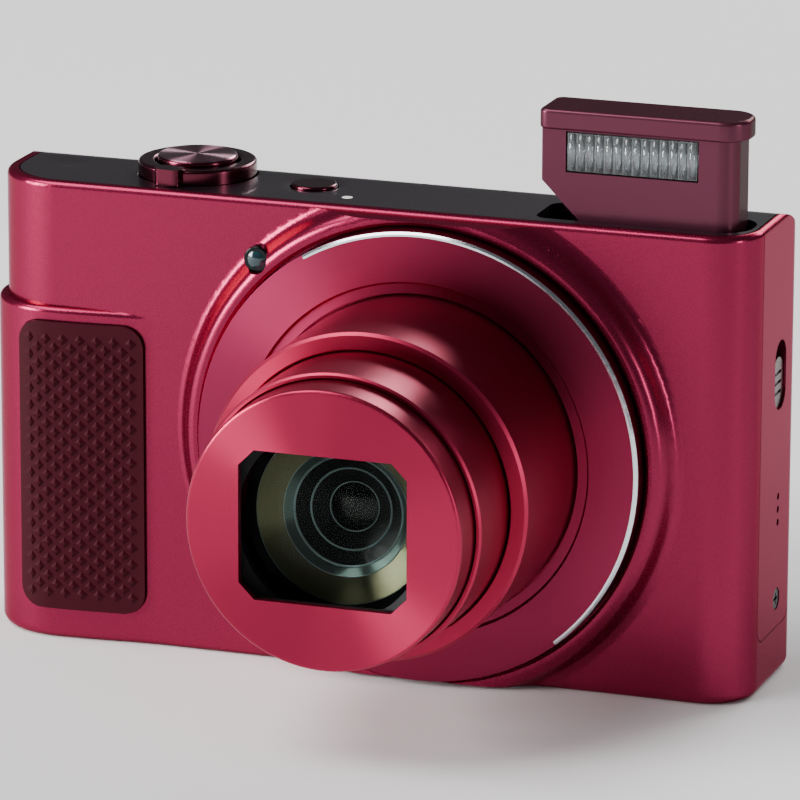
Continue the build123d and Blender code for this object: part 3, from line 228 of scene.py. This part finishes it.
def sheet_mark(name, outline, lift, centre, material):
    """A thin raised mark on the back: the outline, in millimetres about centre, lifted by lift."""
    form = bmesh.new()
    bottom, top = [], []
    up = Vector((0, lift * MM, 0))
    for u, v in outline:
        base = Vector((centre.x - u * MM, centre.y, centre.z + v * MM))
        bottom.append(form.verts.new(base - up))
        top.append(form.verts.new(base + up))
    form.faces.new(bottom)
    form.faces.new(top)
    count = len(outline)
    for i in range(count):
        j = (i + 1) % count
        form.faces.new((bottom[i], bottom[j], top[j], top[i]))
    bmesh.ops.recalc_face_normals(form, faces=form.faces)
    return object_from(form, name, material)


def baked_nodes(carrier, tree, values, name):
    """Run a Geometry Nodes tree on a carrier mesh and return its result as a plain object."""
    modifier = carrier.modifiers.new("Geometry Nodes", "NODES")
    modifier.node_group = tree
    sockets = {item.name: item.identifier for item in tree.interface.items_tree if item.in_out == "INPUT"}
    for key, value in values.items():
        modifier[sockets[key]] = value
    graph = bpy.context.evaluated_depsgraph_get()
    mesh = bpy.data.meshes.new_from_object(carrier.evaluated_get(graph), depsgraph=graph)
    carrier.modifiers.remove(modifier)
    bpy.data.objects.remove(carrier)
    mesh.name = name
    piece = bpy.data.objects.new(name, mesh)
    bpy.context.scene.collection.objects.link(piece)
    return piece


def new_nodes(name, inputs):
    """A Geometry Nodes tree with named inputs: the tree, its input node and its output socket."""
    tree = bpy.data.node_groups.new(name, "GeometryNodeTree")
    tree.interface.new_socket("Geometry", in_out="INPUT", socket_type="NodeSocketGeometry")
    for label, kind in inputs:
        tree.interface.new_socket(label, in_out="INPUT", socket_type=kind)
    tree.interface.new_socket("Geometry", in_out="OUTPUT", socket_type="NodeSocketGeometry")
    return tree, add(tree, "NodeGroupInput").outputs


def end_nodes(tree, geometry, material):
    """Close a Geometry Nodes tree with Realize Instances and Set Material."""
    real = add(tree, "GeometryNodeRealizeInstances", {"Geometry": geometry})
    dressed = add(tree, "GeometryNodeSetMaterial", {"Geometry": real.outputs[0], "Material": material})
    add(tree, "NodeGroupOutput", {"Geometry": dressed.outputs[0]})


def empty_carrier(name):
    """An empty mesh object that a Geometry Nodes tree runs on."""
    carrier = bpy.data.objects.new(name, bpy.data.meshes.new(name))
    bpy.context.scene.collection.objects.link(carrier)
    return carrier


# Settings


class CaseSettings(bpy.types.PropertyGroup):
    """Colours and grain of the painted case."""

    paint: StringProperty(name="Paint", description="Metallic paint of the case, sRGB", default="#861E3F")
    plum: StringProperty(name="Top plate", description="Plastic of the top plate, sRGB", default="#1D1018")
    flake: FloatProperty(name="Flake", description="Size of the metal flakes, mm", default=0.14, min=0.02)


class LensSettings(bpy.types.PropertyGroup):
    """Colours and sizes of the lens."""

    bezel: StringProperty(name="Bezel", description="Spun metal of the lens bezel, sRGB", default="#8A2A48")
    front: StringProperty(name="Front plate", description="Spun metal of the front, sRGB", default="#A02847")
    barrel: StringProperty(name="Barrel", description="Turned metal of the barrels, sRGB", default="#A22A48")
    pupil: FloatProperty(name="Pupil", description="Radius of the last cell, mm", default=2.5)
    step_depth: FloatProperty(name="Cell depth", description="Depth of one lens cell, mm", default=0.8)


class GripSettings(bpy.types.PropertyGroup):
    """The moulded diamonds of the grip."""

    rubber: StringProperty(name="Rubber", description="Colour of the grip, sRGB", default="#360813")
    pitch: FloatProperty(name="Pitch", description="Side of one diamond, mm", default=1.5, min=0.5)
    height: FloatProperty(name="Height", description="Height of one diamond, mm", default=0.32, min=0.05)


class FlashSettings(bpy.types.PropertyGroup):
    """The flash head's colours and the ribs of its window."""

    housing: StringProperty(name="Housing", description="Plastic of the flash head, sRGB", default="#5E3040")
    ribs: IntProperty(name="Ribs", description="Number of ribs on the window", default=14, min=4)


class StageSettings(bpy.types.PropertyGroup):
    """Floor, lights and view."""

    floor: StringProperty(name="Floor", description="Colour of the floor, sRGB", default="#F4F3F2")
    azimuth: FloatProperty(
        name="Azimuth", description="Where the camera stands", default=radians(19.3), subtype="ANGLE"
    )
    elevation: FloatProperty(
        name="Elevation",
        description="How high the camera looks from",
        default=radians(15.58),
        subtype="ANGLE",
    )
    distance: FloatProperty(
        name="Distance", description="From the target to the camera", default=0.7698, unit="LENGTH"
    )


SETTINGS = {
    "camera_case": CaseSettings,
    "camera_lens": LensSettings,
    "camera_grip": GripSettings,
    "camera_flash": FlashSettings,
    "camera_stage": StageSettings,
}


# Materials


def metallic_paint():
    """Baked metallic lacquer on pressed aluminium: fine flakes under a clear coat."""
    case = bpy.context.scene.camera_case
    return speckled(
        "metallic_lacquer", case.paint, case.flake, 0.0015, mottle=0.1, metallic=0.88, roughness=0.27,
        spread=0.03, Coat_Weight=0.12, Coat_Roughness=0.2, Specular_Tint=linear("#D098A8"),
    )


def turned_anodised(name, code, centre, along, roughness=0.3, anisotropic=0.9):
    """Anodised aluminium faced on a lathe: its round grooves draw the light out into radial fans."""
    material, tree, shader, _ = new_material(name)
    place = add(tree, "ShaderNodeTexCoord").outputs["Object"]
    shift = [-value for value in centre]
    scale = [1.0, 1.0, 1.0]
    shift[along] = 0.0
    scale[along] = 0.0
    spoke = add(tree, "ShaderNodeMapping", {"Vector": place, "Location": shift, "Scale": scale}).outputs[0]
    radius = add(tree, "ShaderNodeVectorMath", {0: spoke}, operation="LENGTH").outputs["Value"]
    groove = 0.16 * MM  # coarser than the real 0.05 mm cut, so that it shows
    noise = add(
        tree, "ShaderNodeTexNoise", {"W": radius, "Scale": 1 / groove, "Detail": 2.0}, noise_dimensions="1D"
    )
    base = linear(code)
    dark = (*[c * 0.9 for c in base[:3]], 1.0)
    light = (*[min(1.0, c * 1.1) for c in base[:3]], 1.0)
    tint = add(tree, "ShaderNodeMix", {0: noise.outputs[0], 6: dark, 7: light}, data_type="RGBA")
    bump = add(tree, "ShaderNodeBump", {"Strength": 0.5, "Distance": 0.0015 * MM, "Height": noise.outputs[0]})
    out = add(tree, "ShaderNodeVectorMath", {0: spoke}, operation="NORMALIZE")
    tree.links.new(tint.outputs[2], shader.inputs["Base Color"])
    tree.links.new(bump.outputs[0], shader.inputs["Normal"])
    tree.links.new(out.outputs[0], shader.inputs["Tangent"])
    shader.inputs["Metallic"].default_value = 1.0
    shader.inputs["Roughness"].default_value = roughness
    shader.inputs["Anisotropic"].default_value = anisotropic
    return material


def anodised_wall(name, code, roughness):
    """The same anodised aluminium on a side wall, where the grooves only soften the light."""
    return speckled(name, code, 0.06, 0.0, mottle=0.03, metallic=1.0, roughness=roughness, spread=0.01)


def coated_glass(name, mirror):
    """Optical glass, with the faint green of a thick element and a coating that dims its mirror."""
    material, tree, shader, place = new_material(name)
    smear = add(tree, "ShaderNodeTexNoise", {"Vector": place, "Scale": 0.25, "Detail": 2.0})
    gloss = add(tree, "ShaderNodeMapRange", {0: smear.outputs[0], 3: 0.0, 4: 0.004})
    tree.links.new(gloss.outputs[0], shader.inputs["Roughness"])
    shader.inputs["Base Color"].default_value = linear("#E8EEEA")
    shader.inputs["Specular Tint"].default_value = linear("#2A302E")
    shader.inputs["Transmission Weight"].default_value = 1.0
    shader.inputs["IOR"].default_value = 1.6
    shader.inputs["Specular IOR Level"].default_value = mirror
    return material


def clear_moulding(name, code, roughness=0.05):
    """Clear moulded polycarbonate, very slightly milky."""
    material, tree, shader, place = new_material(name)
    haze = add(tree, "ShaderNodeTexNoise", {"Vector": place, "Scale": 2.0, "Detail": 2.0})
    gloss = add(tree, "ShaderNodeMapRange", {0: haze.outputs[0], 3: roughness, 4: roughness * 2})
    tree.links.new(gloss.outputs[0], shader.inputs["Roughness"])
    shader.inputs["Base Color"].default_value = linear(code)
    shader.inputs["Transmission Weight"].default_value = 0.92
    shader.inputs["Specular IOR Level"].default_value = 0.3
    shader.inputs["IOR"].default_value = 1.58
    return material


def make_materials():
    """Every finish on the camera, by the name of the record's slot or of the place where it is used."""
    case = bpy.context.scene.camera_case
    lens = bpy.context.scene.camera_lens
    grip = bpy.context.scene.camera_grip
    flash = bpy.context.scene.camera_flash
    return {
        "case_metal": metallic_paint(),
        "bezel_metal": anodised_wall("anodised_bezel_wall", lens.bezel, 0.34),
        "bezel_spun": turned_anodised("spun_anodised_bezel", lens.bezel, LENS, 1, 0.3, 0.92),
        "barrel_metal": anodised_wall("anodised_barrel_wall", lens.barrel, 0.38),
        "front_spun": turned_anodised("spun_anodised_front", lens.front, LENS, 1, 0.3, 0.95),
        "shutter_wall": anodised_wall("anodised_dial_wall", "#5A2533", 0.22),
        "shutter_spun": turned_anodised("spun_shutter_cap", "#A87C8A", SHUTTER, 2, 0.3, 0.96),
        # Bright electroplated trim: a cool mirror with a faint ripple
        "accent_metal": speckled("bright_chrome", "#DCE4EA", 0.6, 0.001, 0.02, 1.0, 0.16, 0.03),
        # Glossy injection-moulded ABS with a trace of pearl
        "dark_plastic": speckled(
            "pearl_abs_plum", case.plum, 0.12, 0.001, 0.2, 0.25, 0.3, 0.05, Coat_Weight=0.4
        ),
        # Thermoplastic rubber, dull, with a fine spark-eroded grain
        "grip_rubber": speckled(
            "moulded_rubber", grip.rubber, 0.12, 0.006, 0.2, 0.0, 0.55, 0.08, Specular_IOR_Level=0.08
        ),
        # Painted ABS of the flash head, with the case paint's flake in a darker colour
        "flash_plastic": speckled(
            "painted_abs_flash", flash.housing, 0.12, 0.001, 0.12, 0.75, 0.32, 0.04, Coat_Weight=0.06,
            Coat_Roughness=0.15, Specular_Tint=linear("#7A3A4C"),
        ),
        # Black moulded polycarbonate with an eroded grain that kills reflections
        "black_plastic": speckled(
            "black_polycarbonate", "#0D0D10", 0.1, 0.004, 0.3, 0.0, 0.45, 0.1, Specular_IOR_Level=0.15
        ),
        # Buttons polished by fingers: smoother than the mouldings about them
        "button_plastic": speckled("polished_abs_button", "#3A1620", 0.2, 0.001, 0.12, 0.4, 0.26, 0.05),
        "lens_glass": coated_glass("coated_inner_glass", 0.04),
        "front_glass": coated_glass("coated_front_glass", 0.05),
        # Lens cells behind the glass, turned aluminium with bright edges: their olive and grey-green are
        # painted reflection, standing in for the coloured sheen of the glass's coating
        "stop_painted_olive_reflection": turned_anodised("cell_painted_olive_reflection", "#4E4C3A", LENS, 1, 0.3, 0.85),
        "stop_painted_green_reflection": turned_anodised("cell_painted_green_reflection", "#4C5B57", LENS, 1, 0.3, 0.85),
        "stop_rim": speckled("turned_cell_edge", "#6E7F82", 0.3, 0.0, 0.1, 0.9, 0.3, 0.03),
        # Matt optical black lacquer, with no grain for the lens to magnify
        "stop_black": speckled(
            "optical_black_lacquer", "#07090A", 0.5, 0.0, 0.2, 0.0, 0.4, 0.03, Specular_IOR_Level=0.08
        ),
        "clear_plastic": clear_moulding("ribbed_polycarbonate", "#E8EEF0"),
        # Hard-coated acrylic over a dark display: deep gloss with faint finger smears
        "screen_glass": speckled(
            "hard_coated_acrylic", "#050507", 14.0, 0.0, 0.3, 0.0, 0.07, 0.03, Coat_Weight=1.0
        ),
        # Nickel-plated steel of screws, pins and springs
        "steel": speckled("nickel_steel", "#A9A9AC", 0.15, 0.002, 0.08, 1.0, 0.28, 0.06),
        # Black anodised aluminium of the chassis
        "dark_metal": speckled("black_anodised_plate", "#2C2D30", 0.2, 0.002, 0.15, 0.8, 0.4, 0.05),
        # Glass-epoxy board under green solder mask
        "board": speckled("green_solder_mask", "#0E3B27", 0.4, 0.003, 0.25, 0.0, 0.35, 0.08),
        # Heat-sealed vinyl jacket of the battery
        "battery_shell": speckled("battery_jacket", "#26272A", 0.3, 0.003, 0.15, 0.0, 0.42, 0.06),
        # Smoked acrylic over the focus lamp; on the pupil in the lens its near-black is painted shade
        "lamp_window": speckled(
            "smoked_acrylic", "#05080A", 0.8, 0.0, 0.3, 0.0, 0.05, 0.02, Specular_IOR_Level=0.2
        ),
        # Smoked glass of the low dome inside it
        "lamp_dome": speckled("tinted_lamp_lens", "#173036", 0.8, 0.0, 0.3, 0.2, 0.12, 0.02, Coat_Weight=0.6),
        # Red dyed acrylic
        "red_dot": speckled("red_acrylic", "#B3141C", 0.3, 0.0, 0.1, 0.0, 0.25, 0.04),
        # Pad-printed or moulded white marks
        "white_plastic": speckled("white_print", "#E4E3DE", 0.3, 0.001, 0.05, 0.0, 0.5, 0.05),
    }


MATERIALS = {}


def stuff(slot):
    """The material of a slot, made on first use."""
    if not MATERIALS:
        MATERIALS.update(make_materials())
    return MATERIALS[slot]


def skin_all(*nodes):
    """Finish CAD pieces with the material of their own slots."""
    return [skin(node, stuff(SLOT_OF[node])) for node in nodes]


# Operators


class CAMERA_OT_covers(bpy.types.Operator):
    """Paint the covers, the top plate and the side panel"""

    bl_idname = "camera_finish.covers"
    bl_label = "Covers"

    def execute(self, context):
        skin_all("front_cover", "rear_cover", "top_plate", "side_panel", "battery_door", "terminal_cover")
        skin_all("tripod_socket", "case_screws", "strap_eyelet", "door_hinge_pin")
        return {"FINISHED"}


def diamond_tree():
    """Diamonds on a square lattice turned by 45 degrees, dropped on to the pad along Y."""
    tree, given = new_nodes(
        "Grip diamonds",
        [
            ("Pad", "NodeSocketObject"),
            ("Pitch", "NodeSocketFloat"),
            ("Height", "NodeSocketFloat"),
            ("Half width", "NodeSocketFloat"),
            ("Half height", "NodeSocketFloat"),
            ("Centre", "NodeSocketVector"),
            ("Material", "NodeSocketMaterial"),
        ],
    )
    per_side = 40
    span = add(tree, "ShaderNodeMath", {0: given["Pitch"], 1: per_side - 1.0}, operation="MULTIPLY")
    grid = add(
        tree,
        "GeometryNodeMeshGrid",
        {
            "Size X": span.outputs[0],
            "Size Y": span.outputs[0],
            "Vertices X": per_side,
            "Vertices Y": per_side,
        },
    )
    turned = add(tree, "GeometryNodeTransform", {"Geometry": grid.outputs[0], "Rotation": (0, 0, pi / 4)})
    stood = add(tree, "GeometryNodeTransform", {"Geometry": turned.outputs[0], "Rotation": (pi / 2, 0, 0)})
    place = add(tree, "GeometryNodeInputPosition").outputs[0]
    parts = add(tree, "ShaderNodeSeparateXYZ", {0: place})
    outside = []
    for axis, limit in ((0, "Half width"), (2, "Half height")):
        size = add(tree, "ShaderNodeMath", {0: parts.outputs[axis]}, operation="ABSOLUTE")
        outside.append(
            add(tree, "FunctionNodeCompare", {0: size.outputs[0], 1: given[limit]}, operation="GREATER_THAN")
        )
    either = add(
        tree, "FunctionNodeBooleanMath", {0: outside[0].outputs[0], 1: outside[1].outputs[0]}, operation="OR"
    )
    kept = add(
        tree, "GeometryNodeDeleteGeometry", {"Geometry": stood.outputs[0], "Selection": either.outputs[0]}
    )
    points = add(tree, "GeometryNodeMeshToPoints", {"Mesh": kept.outputs[0]})
    moved = add(tree, "GeometryNodeSetPosition", {"Geometry": points.outputs[0], "Offset": given["Centre"]})
    pad = add(tree, "GeometryNodeObjectInfo", {"Object": given["Pad"]})
    ray = add(
        tree,
        "GeometryNodeRaycast",
        {"Target Geometry": pad.outputs["Geometry"], "Ray Direction": (0, 1, 0), "Ray Length": 0.02},
    )
    landed = add(
        tree,
        "GeometryNodeSetPosition",
        {
            "Geometry": moved.outputs[0],
            "Selection": ray.outputs["Is Hit"],
            "Position": ray.outputs["Hit Position"],
        },
    )
    reach = add(tree, "ShaderNodeMath", {0: given["Pitch"], 1: 0.66}, operation="MULTIPLY")
    top = add(tree, "ShaderNodeMath", {0: given["Pitch"], 1: 0.16}, operation="MULTIPLY")
    deep = add(tree, "ShaderNodeMath", {0: given["Height"], 1: 1.35}, operation="MULTIPLY")
    cone = add(
        tree,
        "GeometryNodeMeshCone",
        {
            "Vertices": 4,
            "Radius Top": top.outputs[0],
            "Radius Bottom": reach.outputs[0],
            "Depth": deep.outputs[0],
        },
    )
    sunk = add(tree, "ShaderNodeMath", {0: deep.outputs[0], 1: -0.35}, operation="MULTIPLY")
    drop = add(tree, "ShaderNodeCombineXYZ", {2: sunk.outputs[0]})
    lowered = add(
        tree, "GeometryNodeTransform", {"Geometry": cone.outputs[0], "Translation": drop.outputs[0]}
    )
    faced = add(tree, "GeometryNodeTransform", {"Geometry": lowered.outputs[0], "Rotation": (pi / 2, 0, 0)})
    copies = add(
        tree, "GeometryNodeInstanceOnPoints", {"Points": landed.outputs[0], "Instance": faced.outputs[0]}
    )
    end_nodes(tree, copies.outputs[0], given["Material"])
    return tree


class CAMERA_OT_grip(bpy.types.Operator):
    """Mould the grip pad and its diamonds"""

    bl_idname = "camera_finish.grip"
    bl_label = "Grip"

    def execute(self, context):
        grip = context.scene.camera_grip
        pad = skin("grip_pad", stuff("grip_rubber"))
        rim = 1.6 * MM  # plain border round the diamonds
        half = (PAD_HIGH - PAD_LOW) / 2
        centre = Vector((middle("grip_pad").x, PAD_LOW.y - 5 * MM, middle("grip_pad").z))
        diamonds = baked_nodes(
            empty_carrier("grip_diamonds_carrier"),
            diamond_tree(),
            {
                "Pad": pad,
                "Pitch": grip.pitch * MM,
                "Height": grip.height * MM,
                "Half width": half.x - rim,
                "Half height": half.z - rim,
                "Centre": centre,
                "Material": stuff("grip_rubber"),
            },
            "grip_diamonds",
        )
        finish_piece(diamonds, "camera", "grip_rubber")
        return {"FINISHED"}


class CAMERA_OT_lens(bpy.types.Operator):
    """Finish the lens: bezel, barrels, spun front plate, glass and the dark rings behind it"""

    bl_idname = "camera_finish.lens"
    bl_label = "Lens"

    def execute(self, context):
        spin_faces(skin("lens_ring", stuff("bezel_metal")), 1, stuff("bezel_spun"))
        skin("af_lamp_window", stuff("lamp_window"))
        self.lamp_dome()
        skin_all("ring_accent", "lens_baffle", "lens_housing", "second_lens")
        skin("front_lens", stuff("front_glass"))
        for node in ("barrel_outer", "barrel_middle", "barrel_inner", "front_plate"):
            spin_faces(skin(node, stuff("barrel_metal")), 1, stuff("front_spun"))
        self.stops()
        return {"FINISHED"}

    def lamp_dome(self):
        """The low tinted dome in the focus lamp's window."""
        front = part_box("af_lamp_window")[0].y / MM
        wide = 1.1  # mm, inside the window's own rim
        crown = [(0.0, front - 0.28), (0.6, front - 0.22), (wide, front + 0.02)]
        foot = [(wide, front + 0.2), (0.0, front + 0.2)]
        dome = lathe("focus_lamp_dome", crown + foot, middle("af_lamp_window"), stuff("lamp_dome"))
        finish_piece(dome, "camera", "lens_glass")

    def stops(self):
        """Cells that narrow towards the pupil behind the front glass, each with a turned edge; the olive and
        grey-green of two cells are painted reflection.
        """
        settings = bpy.context.scene.camera_lens
        front = GLASS_HIGH.y / MM + 0.3
        depth = settings.step_depth
        for i, (outer, inner, edge, slot) in enumerate(
            (
                (11.4, 10.0, 0.04, "stop_black"),
                # The olive and grey-green cells carry painted reflection: their colours stand in for the
                # coating's coloured sheen.
                (10.0, 6.9, 0.05, "stop_painted_olive_reflection"),
                (6.9, 5.8, 0.12, "stop_painted_green_reflection"),
                (5.8, 4.2, 0.1, "stop_black"),
                (4.2, settings.pupil, 0.05, "stop_black"),
            )
        ):
            rear = front + depth
            wall = [(outer, front), (inner, rear), (inner, rear + 0.4), (outer, rear + 0.4)]
            cone = lathe(f"lens_cell_{i + 1}", wall, LENS, stuff(slot))
            finish_piece(cone, "barrel_inner", "black_plastic")
            turns = [tau * k / 10 for k in range(10)]
            hoop = [(inner + edge * (1 + cos(turn)), rear + edge * (sin(turn) - 1)) for turn in turns]
            ring = lathe(f"lens_cell_edge_{i + 1}", hoop, LENS, stuff("stop_rim"))
            finish_piece(ring, "barrel_inner", "dark_metal")
            front = rear
        wide = settings.pupil + 0.3
        crown = [(0.0, front - 0.4), (wide * 0.6, front - 0.2), (wide, front + 0.4)]
        foot = [(wide, rear + 1.2), (0.0, rear + 1.2)]
        # The pupil is an opaque near-black dome: painted shade, standing for the dark inside of the lens
        # behind its last glass.
        element = lathe("pupil_element", crown + foot, LENS, stuff("lamp_window"))
        finish_piece(element, "barrel_inner", "lens_glass")


def rib_tree():
    """A row of upright half-round ribs along X."""
    tree, given = new_nodes(
        "Window ribs",
        [
            ("Count", "NodeSocketInt"),
            ("Start", "NodeSocketVector"),
            ("Step", "NodeSocketVector"),
            ("Radius", "NodeSocketFloat"),
            ("Length", "NodeSocketFloat"),
            ("Material", "NodeSocketMaterial"),
        ],
    )
    line = add(
        tree,
        "GeometryNodeMeshLine",
        {"Count": given["Count"], "Start Location": given["Start"], "Offset": given["Step"]},
    )
    rib = add(
        tree,
        "GeometryNodeMeshCylinder",
        {"Vertices": 16, "Radius": given["Radius"], "Depth": given["Length"]},
    )
    smooth = add(tree, "GeometryNodeSetShadeSmooth", {"Geometry": rib.outputs[0]})
    copies = add(
        tree, "GeometryNodeInstanceOnPoints", {"Points": line.outputs[0], "Instance": smooth.outputs[0]}
    )
    end_nodes(tree, copies.outputs[0], given["Material"])
    return tree


def flash_spring():
    """The coil under the flash head: a steel copy with a mesh of its own."""
    spring = skin("flash_spring", stuff("steel"))
    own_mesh(spring)


class CAMERA_OT_flash(bpy.types.Operator):
    """Finish the flash head and rib its window"""

    bl_idname = "camera_finish.flash"
    bl_label = "Flash"

    def execute(self, context):
        skin("flash_cap", stuff("flash_plastic"))
        skin_all("flash_housing", "flash_window", "flash_reflector", "flash_tube")
        flash_spring()
        count = context.scene.camera_flash.ribs
        span = WINDOW_HIGH.x - WINDOW_LOW.x
        step = span / count
        inset = 0.1 * MM
        ribs = baked_nodes(
            empty_carrier("flash_ribs_carrier"),
            rib_tree(),
            {
                "Count": count,
                "Start": (WINDOW_LOW.x + step / 2, WINDOW_LOW.y + 0.2 * MM, middle("flash_window").z),
                "Step": (step, 0, 0),
                "Radius": step * 0.46,
                "Length": WINDOW_HIGH.z - WINDOW_LOW.z - 2 * inset,
                "Material": stuff("clear_plastic"),
            },
            "flash_window_ribs",
        )
        finish_piece(ribs, "flash_head", "clear_plastic")
        return {"FINISHED"}


class CAMERA_OT_controls(bpy.types.Operator):
    """Finish the controls on the top, the back and the side, with generic marks"""

    bl_idname = "camera_finish.controls"
    bl_label = "Controls"

    def execute(self, context):
        skin("zoom_lever", stuff("shutter_wall"))
        skin("power_button", stuff("shutter_wall"))
        skin_all("flash_switch", "playback_button", "menu_button", "movie_button")
        skin_all("four_way_pad", "set_button", "lcd_window", "status_lamps")
        spin_faces(skin("shutter_button", stuff("shutter_wall")), 2, stuff("shutter_spun"))
        self.marks()
        return {"FINISHED"}

    def marks(self):
        """Generic marks: an arrow to play, three bars for the menu, and a dot to record."""
        lift = 0.03
        arrow = [(-0.6, -0.8), (0.8, 0.0), (-0.6, 0.8)]
        disc = [(cos(tau * i / 32), sin(tau * i / 32)) for i in range(32)]
        for name, body, outline, slot in (
            ("play_mark", "playback_button", arrow, "white_plastic"),
            ("record_mark", "movie_button", disc, "red_dot"),
        ):
            centre = middle(body)
            centre.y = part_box(body)[1].y
            mark = sheet_mark(name, outline, lift, centre, stuff(slot))
            finish_piece(mark, body, slot)
        for i in range(3):
            centre = middle("menu_button")
            centre.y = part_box("menu_button")[1].y
            height = 0.7 * (i - 1)
            bar = [(-0.9, height - 0.14), (0.9, height - 0.14), (0.9, height + 0.14), (-0.9, height + 0.14)]
            mark = sheet_mark(f"menu_mark_{i + 1}", bar, lift, centre, stuff("white_plastic"))
            finish_piece(mark, "menu_button", "white_plastic")


class CAMERA_OT_inside(bpy.types.Operator):
    """Give the pieces inside the case their finishes"""

    bl_idname = "camera_finish.inside"
    bl_label = "Inside"

    def execute(self, context):
        for node, piece in frame["nodes"].items():
            if not piece.hide_render:
                piece.data.materials.clear()
                piece.data.materials.append(stuff(SLOT_OF[node]))
        return {"FINISHED"}


class CAMERA_OT_stage(bpy.types.Operator):
    """Set the floor, the lights and the view"""

    bl_idname = "camera_finish.stage"
    bl_label = "Stage"

    def execute(self, context):
        self.view(context)
        self.floor(context)
        self.lights(context)
        return {"FINISHED"}

    def view(self, context):
        """A long lens, level but for a sixth of a degree, that looks down on the camera from its right."""
        stage = context.scene.camera_stage
        target = Vector((0.0, -0.0015, 0.028))
        away = Vector(
            (
                sin(stage.azimuth) * cos(stage.elevation),
                -cos(stage.azimuth) * cos(stage.elevation),
                sin(stage.elevation),
            )
        )
        data = bpy.data.cameras.new("view")
        data.lens = 287.9
        data.sensor_width = 36.0
        data.shift_x = 0.0196
        data.shift_y = 0.0284
        data.clip_start = 0.05
        data.clip_end = 50.0
        view = bpy.data.objects.new("view", data)
        facing = (-away).to_track_quat("-Z", "Y").to_matrix().to_4x4()
        roll = Matrix.Rotation(radians(0.16), 4, "Z")
        view.matrix_world = Matrix.Translation(target + away * stage.distance) @ facing @ roll
        context.scene.collection.objects.link(view)
        context.scene.camera = view

    def floor(self, context):
        """A wide pale floor of matt painted board."""
        form = bmesh.new()
        bmesh.ops.create_grid(form, x_segments=8, y_segments=8, size=6.0)
        board = speckled(
            "matt_painted_board", context.scene.camera_stage.floor, 3.0, 0.002, 0.01, 0.0, 0.8, 0.05
        )
        floor = object_from(form, "floor", board)

    def lights(self, context):
        """Soft boxes above, at the left and behind, a strip at the right, and an even grey room."""
        for name, place, aim, size, power in (
            ("box_above", (-0.5, -0.3, 0.95), (-0.05, -0.05, 0.0), (0.8, 0.5), 10.0),
            ("box_left", (-0.85, -0.6, 0.32), (0.0, -0.02, 0.03), (0.4, 0.5), 20.0),
            ("strip_right", (1.0, -0.33, 0.2), (0.04, 0.0, 0.03), (0.08, 0.4), 2.5),
            ("box_behind", (0.3, 1.1, 0.62), (0.0, 0.0, 0.03), (0.9, 0.4), 14.0),
        ):
            data = bpy.data.lights.new(name, "AREA")
            data.shape = "RECTANGLE"
            data.size, data.size_y = size
            data.energy = power
            lamp = bpy.data.objects.new(name, data)
            away = Vector(place) - Vector(aim)
            lamp.matrix_world = Matrix.Translation(place) @ away.to_track_quat("Z", "Y").to_matrix().to_4x4()
            context.scene.collection.objects.link(lamp)
        world = bpy.data.worlds.new("room")
        world.use_nodes = True
        world.node_tree.nodes["Background"].inputs[0].default_value = linear("#C9CDD2")
        world.node_tree.nodes["Background"].inputs[1].default_value = 0.17
        context.scene.world = world


class CAMERA_PT_finish(bpy.types.Panel):
    """Lists the operators and the settings"""

    bl_label = "Camera Finish"
    bl_idname = "CAMERA_PT_finish"
    bl_space_type = "VIEW_3D"
    bl_region_type = "UI"
    bl_category = "Camera Finish"

    def draw(self, context):
        for operator in OPERATORS:
            self.layout.operator(operator.bl_idname)
        for name, group in SETTINGS.items():
            box = self.layout.box()
            for key in group.__annotations__:
                box.prop(getattr(context.scene, name), key)


OPERATORS = (
    CAMERA_OT_stage,
    CAMERA_OT_covers,
    CAMERA_OT_grip,
    CAMERA_OT_lens,
    CAMERA_OT_flash,
    CAMERA_OT_controls,
    CAMERA_OT_inside,
)


def register():
    for group in (*SETTINGS.values(), *OPERATORS, CAMERA_PT_finish):
        bpy.utils.register_class(group)
    for name, group in SETTINGS.items():
        setattr(bpy.types.Scene, name, PointerProperty(type=group))


def unregister():
    for name in SETTINGS:
        delattr(bpy.types.Scene, name)
    for group in (CAMERA_PT_finish, *reversed(OPERATORS), *SETTINGS.values()):
        bpy.utils.unregister_class(group)


def main():
    """Register the add-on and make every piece."""
    register()
    for operator in OPERATORS:
        family, action = operator.bl_idname.split(".")
        getattr(getattr(bpy.ops, family), action)()


if __name__ == "__main__":
    main()
